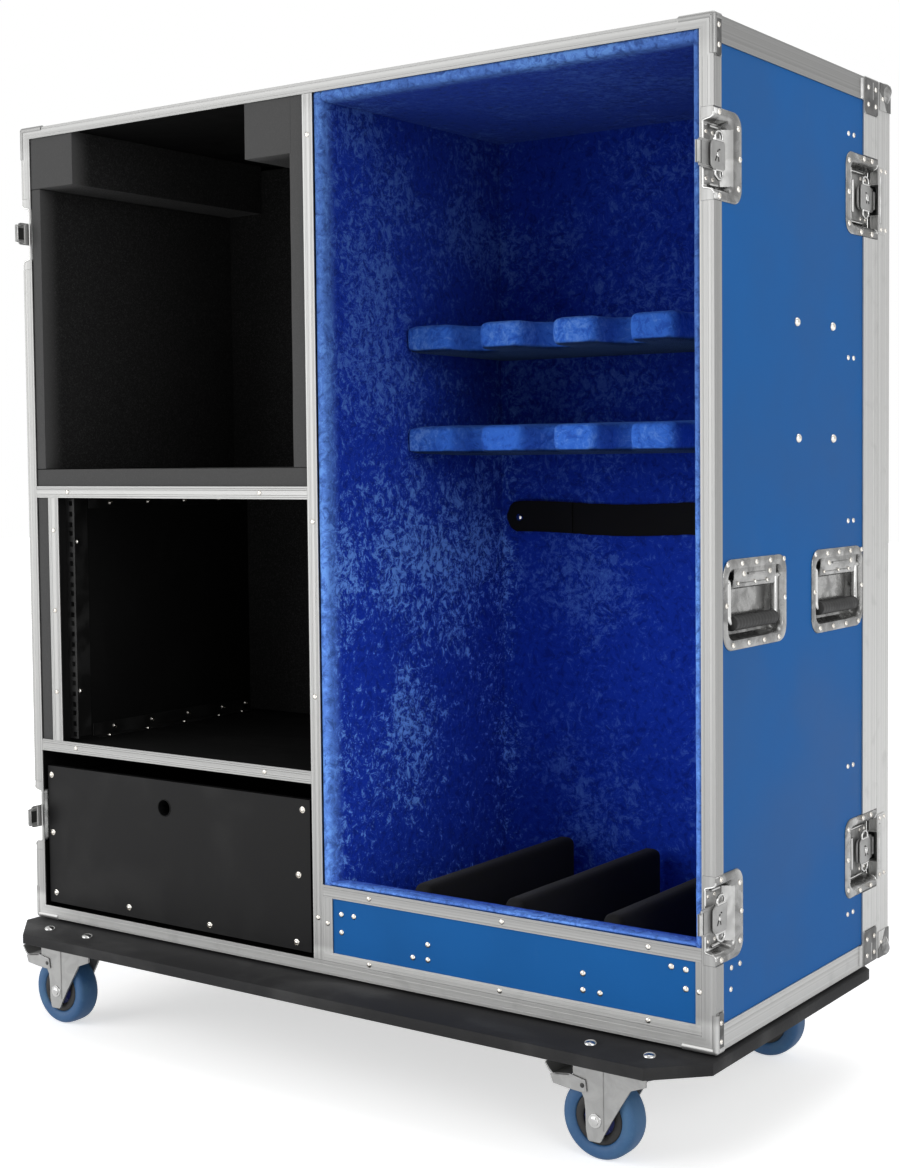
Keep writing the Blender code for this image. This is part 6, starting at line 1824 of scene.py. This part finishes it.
@dataclass
class CastorDeck:
    """The castor board with its packing, castor plates and bolts."""

    front: float = -0.075
    side: float = 0.575
    rear: float = 0.489
    chamfer: float = 0.058
    top: float = -0.0045
    thick: float = 0.015

    def castor_sites(self) -> Iterator[tuple[str, float, float]]:
        """Yield each castor's name and its swivel's x and y in case coordinates."""
        for row, y in (("front", -0.003), ("rear", 0.439)):
            for side_name, side in SIDES.items():
                yield f"{row}_{side_name}", side * 0.464, y

    def build(self) -> None:
        """Build the board, the packing sheet, the plates and the bolts."""
        x, front, rear, cut = self.side, self.front, self.rear, self.chamfer
        outline = [(-x + cut, front), (x - cut, front), (x, front + cut), (x, rear - cut), (x - cut, rear)]
        outline += [(-x + cut, rear), (-x, rear - cut), (-x, front + cut)]
        bottom = self.top - self.thick
        levels = [(0.0012, bottom), (0.0004, bottom + 0.0004), (0.0, bottom + 0.0012)]
        levels += [(0.0, self.top - 0.0016), (0.0005, self.top - 0.0005), (0.0016, self.top)]
        Form().plate(outline, levels).piece("deck_board", DECK, "shell", ("castor_board",), smooth=40)
        packing = Form().block((-0.550, 0.020, self.top - 0.0005), (0.550, 0.447, -GAP))
        packing.piece("packing_sheet", BOARD, "shell", bevel=0.0004)
        plates, bolts = Form(), Fasteners("deck_bolts", "shell")
        for _label, cx, cy in self.castor_sites():
            plate = rounded_rectangle((cx - 0.050, cy - 0.0425), (cx + 0.050, cy + 0.0425), (0.008,) * 4, 5)
            plates.plate(plate, [(0.0006, bottom - 0.003), (0.0, bottom - 0.0024), (0.0, bottom)])
            race = [(0.0365, 0.0), (0.0365, -0.0006), (0.0340, -0.0009)]
            plates.turned(race, facing((cx, cy, bottom - 0.003), (0, 0, 1)), 40)
            for dx in (-0.0395, 0.0395):
                for dy in (-0.0325, 0.0325):
                    bolts.bolt(case_point(cx + dx, cy + dy, self.top), (0, 0, 1), 0.0080)
                    self.nut(bolts, case_point(cx + dx, cy + dy, bottom - 0.003))
        plates.piece("castor_plates", FORK_ZINC, "shell", smooth=40)
        bolts.make(CHROME)

    @staticmethod
    def nut(bolts: Fasteners, point: Point) -> None:
        """Add a hexagon nut with its bolt's end under a castor plate."""
        seat = facing(point, (0, 0, -1))
        bolts.form.turned([(0.0072, 0.0), (0.0072, 0.0045), (0.0062, 0.0052)], seat, 6)
        bolts.form.turned([(0.0032, 0.004), (0.0032, 0.0078), (0.0026, 0.0084)], seat, 12)


@dataclass
class Castors:
    """The swivel castors: pressed forks, wheels with a tyre on a ribbed hub, and brake pedals."""

    trail: float = 0.040
    radius: float = 0.050
    leg_inside: float = 0.020
    leg_thick: float = 0.003
    spokes: int = 8

    def wheel(self, label: str, x: float, y: float) -> None:
        """Build the tyre, the hub's ring and the hub's centre."""
        body = f"wheel_{label}"
        seat = facing((x - self.trail, y, self.radius), (0, 1, 0))
        tyre = [
            (0.0318, 0.0140), (0.0335, 0.0158), (0.0385, 0.0170), (0.0440, 0.0168), (0.0474, 0.0152),
            (0.0490, 0.0126), (0.0497, 0.0095), (0.0500, 0.0050), (0.0500, 0.0),
        ]
        form = Form(as_given).turned(mirrored(tyre, 1), seat, 72, closed=True)
        form.piece(f"tyre_{label}", TYRE, body, (f"castor_wheel_{label}",), smooth=50)
        rim = [(0.0208, 0.0110), (0.0214, 0.0140), (0.0230, 0.0152), (0.0298, 0.0152), (0.0314, 0.0142)]
        form = Form(as_given).turned(mirrored(rim + [(0.0320, 0.0100)]), seat, 64, closed=True)
        form.piece(f"rim_{label}", HUB_RING, body, smooth=40)
        hub = [(0.0063, 0.0192), (0.0105, 0.0192), (0.0118, 0.0180), (0.0122, 0.0110), (0.0160, 0.0104)]
        centre = Form(as_given).turned(mirrored(hub + [(0.0212, 0.0112)]), seat, 48, closed=True)
        for side in (-1, 1):
            for i in range(self.spokes):
                ends = (on_circle(r, i, self.spokes) for r in (0.0120, 0.0210))
                centre.tube([seat @ Vector((*end, side * 0.0112)) for end in ends], 0.0013, 6)
        centre.piece(f"hub_{label}", HUB_CENTRE, body, smooth=40)

    @staticmethod
    def trailing(x: float, y: float) -> Place:
        """Return the placing function of (distance behind the swivel, distance across, height)."""
        return lambda t, across, z: (x - t, y + across, z)

    def fork(self, label: str, x: float, y: float) -> None:
        """Build the pressed fork: crown, two creased legs, swivel head and axle bolt."""
        body, place = f"castor_{label}", self.trailing(x, y)
        outer, inner = self.leg_inside + self.leg_thick, self.leg_inside
        top, crease = 0.1258, 0.0285
        crown = rounded_rectangle((-0.027, -outer), (0.070, outer), (0.006, 0.004, 0.004, 0.006), 4)
        form = Form(place).plate(crown, [(0.0, top - 0.0035), (0.0, top - 0.0008), (0.0008, top)])
        front = [(-0.027, top), (-0.027, 0.1015), (-0.007, 0.0940), (0.0175, 0.0530), (crease, 0.0335)]
        foot = [(0.0318, 0.0268), (0.0336, 0.0250), (0.0476, 0.0244), (0.0498, 0.0260), (0.0524, 0.0380)]
        rear = [(0.0530, 0.0620), (0.0545, 0.0740), (0.061, 0.086), (0.070, 0.098), (0.070, top)]
        for side in (-1, 1):
            near, far = side * inner, side * outer
            flat = [(crease, top), (crease, 0.0330), *foot, *rear]
            form.loft([[(t, far, z) for t, z in flat], [(t, near, z) for t, z in flat]])
            bent = []
            for t, z in [(crease, top), *front, (crease, 0.0330)]:
                bent.append((t, z, side * 0.0024 * max(0.0, (crease - t) / 0.05)))
            form.loft([[(t, face - sink, z) for t, z, sink in bent] for face in (far, near)])
            form.tube([(crease, far + side * 0.0002, z) for z in (top - 0.002, 0.040)], 0.0009)
        form.piece(f"fork_{label}", FORK_ZINC, body, (f"castor_fork_{label}",), bevel=0.0005)
        bolt = Form(place)
        for side in (-1, 1):
            seat = facing((self.trail, side * outer, self.radius), (0, side, 0))
            bolt.turned([(0.0088, -0.0006), (0.0088, 0.0004), (0.0084, 0.0010), (0.0062, 0.0011)], seat, 24)
            bolt.turned([(0.0062, 0.0006), (0.0060, 0.0022), (0.0045, 0.0029), (0.0010, 0.0030)], seat, 6)
        bolt.turned([(0.0055, -inner), (0.0055, inner)], facing((self.trail, 0, self.radius), (0, 1, 0)), 16)
        bolt.piece(f"axle_{label}", CHROME, body, bevel=0.0002)

    def pedal(self, label: str, x: float, y: float) -> None:
        """Build the brake pedal: cheeks outside the fork and a curled foot plate."""
        body, place = f"brake_{label}", self.trailing(x, y)
        form = Form(place)
        inner = self.leg_inside + self.leg_thick + GAP
        outer = inner + 0.0018
        cheek = [(0.050, 0.083), (0.058, 0.0815), (0.078, 0.0828), (0.097, 0.0850), (0.1010, 0.0955)]
        cheek += [(0.088, 0.0990), (0.074, 0.1010), (0.052, 0.0970)]
        for side in (-1, 1):
            form.prism(cheek, side * inner, side * outer, "ahb")
        foot = [(0.0735, 0.0988), (0.090, 0.0962), (0.0975, 0.0952), (0.1030, 0.0995), (0.1085, 0.1080)]
        foot += [(0.1072, 0.1100), (0.1015, 0.1020), (0.0965, 0.0975), (0.090, 0.0984), (0.0735, 0.1012)]
        form.prism(foot, -outer, outer, "ahb")
        form.piece(f"pedal_{label}", FORK_ZINC, body, (f"brake_pedal_{label}",), bevel=0.0005)
        pins = Form(place)
        for side in (-1, 1):
            seat = facing((0.056, side * outer, 0.090), (0, side, 0))
            pins.turned([(0.0030, -0.0030), (0.0030, 0.0002), (0.0022, 0.0006)], seat, 14)
        pins.piece(f"pedal_pin_{label}", RACK_COAT, body)

    def build(self, sites: Iterable[tuple[str, float, float]]) -> None:
        """Build a castor at each site."""
        for label, x, case_y in sites:
            y = case_y + CASE_FRONT_Y
            self.wheel(label, x, y)
            self.fork(label, x, y)
            if label.startswith("front"):
                self.pedal(label, x, y)


@dataclass
class Studio:
    """Camera, lights, floor and surroundings."""

    eye: tuple[float, float, float] = (1.4945, -2.0046, 0.829)
    yaw: float = 35.29
    pitch: float = -2.92
    roll: float = -0.56
    lens: float = 54.82
    shift: tuple[float, float] = (-0.0151, -0.0293)

    def camera(self) -> None:
        """Set the camera where the photograph was taken from."""
        data = bpy.data.cameras.new("camera")
        data.lens, data.sensor_width = self.lens, 36.0
        data.shift_x, data.shift_y = self.shift
        data.clip_start, data.clip_end = 0.05, 50.0
        obj = bpy.data.objects.new("camera", data)
        bpy.context.scene.collection.objects.link(obj)
        turn = Matrix.Rotation(math.radians(self.yaw), 4, "Z")
        tilt = Matrix.Rotation(math.radians(90 + self.pitch), 4, "X")
        lean = Matrix.Rotation(math.radians(self.roll), 4, "Z")
        obj.matrix_world = Matrix.Translation(Vector(self.eye)) @ turn @ tilt @ lean
        bpy.context.scene.camera = obj

    @staticmethod
    def lamp(name: str, place: Point, target: Point, size: float, power: float) -> None:
        """Add one large soft lamp that faces a target."""
        data = bpy.data.lights.new(name, "AREA")
        data.shape, data.size, data.energy = "SQUARE", size, power
        obj = bpy.data.objects.new(name, data)
        bpy.context.scene.collection.objects.link(obj)
        obj.location = place
        way = Vector(target) - Vector(place)
        obj.rotation_mode = "QUATERNION"
        obj.rotation_quaternion = way.to_track_quat("-Z", "Y")

    def surroundings(self) -> None:
        """Set a plain sky that the camera and bright metal see as white."""
        world = bpy.data.worlds.new("studio")
        bpy.context.scene.world = world
        world.use_nodes = True
        tree = world.node_tree
        path = tree.nodes.new("ShaderNodeLightPath")
        seen, glossy = (tree.nodes.new("ShaderNodeMath") for _ in range(2))
        for node in (seen, glossy):
            node.operation, node.use_clamp = "ADD", True
        strength = tree.nodes.new("ShaderNodeMapRange")
        strength.inputs["To Min"].default_value, strength.inputs["To Max"].default_value = 0.42, 1.0
        background = tree.nodes["Background"]
        background.inputs["Color"].default_value = (1.0, 1.0, 1.0, 1.0)
        for start, end in (
            (path.outputs["Is Camera Ray"], seen.inputs[0]),
            (path.outputs["Is Glossy Ray"], glossy.inputs[0]),
            (path.outputs["Is Transmission Ray"], glossy.inputs[1]),
            (glossy.outputs[0], seen.inputs[1]),
            (seen.outputs[0], strength.inputs["Value"]),
            (strength.outputs["Result"], background.inputs["Strength"]),
        ):
            tree.links.new(start, end)

    def floor(self) -> None:
        """Add a wide pale floor."""
        mesh = bpy.data.meshes.new("floor")
        r = 14.0
        mesh.from_pydata([(-r, -r, 0), (r, -r, 0), (r, r, 0), (-r, r, 0)], [], [(0, 1, 2, 3)])
        obj = bpy.data.objects.new("floor", mesh)
        bpy.context.scene.collection.objects.link(obj)
        graph = NodeGraph("pale_floor")
        dull, pale = ((level, level, level, 1.0) for level in (0.86, 0.90))
        tone = graph.mixed(graph.noise(3.0, 3.0), dull, pale)
        away = graph.add("ShaderNodeVectorMath", {0: graph.where}, operation="LENGTH").outputs["Value"]
        path = graph.add("ShaderNodeLightPath")
        seen = graph.plus(path.outputs["Is Camera Ray"], path.outputs["Is Glossy Ray"], clamp=True)
        seen = graph.plus(seen, path.outputs["Is Transmission Ray"], clamp=True)
        glow = graph.spread(away, 0.9, 2.4, 0.56, 1.0)
        graph.shade(
            Base_Color=tone,
            Roughness=0.85,
            Specular_IOR_Level=0.1,
            Emission_Color=(1.0, 1.0, 1.0, 1.0),
            Emission_Strength=graph.times(seen, glow),
        )
        mesh.materials.append(graph.material)

    def build(self) -> None:
        """Build the studio round the case."""
        self.camera()
        self.surroundings()
        self.floor()
        middle = (0.0, 0.0, 0.75)
        self.lamp("key", (-3.0, -4.2, 1.9), middle, 4.5, 172.0)
        self.lamp("fill", (3.4, -1.6, 1.8), middle, 2.2, 45.0)
        self.lamp("top", (0.4, 0.4, 3.6), middle, 2.4, 35.0)
        view = bpy.context.scene.view_settings
        view.view_transform = "Standard"


def main() -> None:
    """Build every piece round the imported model."""
    logging.basicConfig(level=logging.INFO, format="%(message)s")
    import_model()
    Studio().build()
    SideWalls().build()
    Extrusions().build()
    Lining().build()
    FoamFittings().build()
    NeckRests().build()
    NeckStrap().build()
    Latches().build()
    DropHandles().build()
    Drawer().build()
    RackBay().build()
    deck = CastorDeck()
    deck.build()
    Castors().build(deck.castor_sites())


if __name__ == "__main__":
    main()
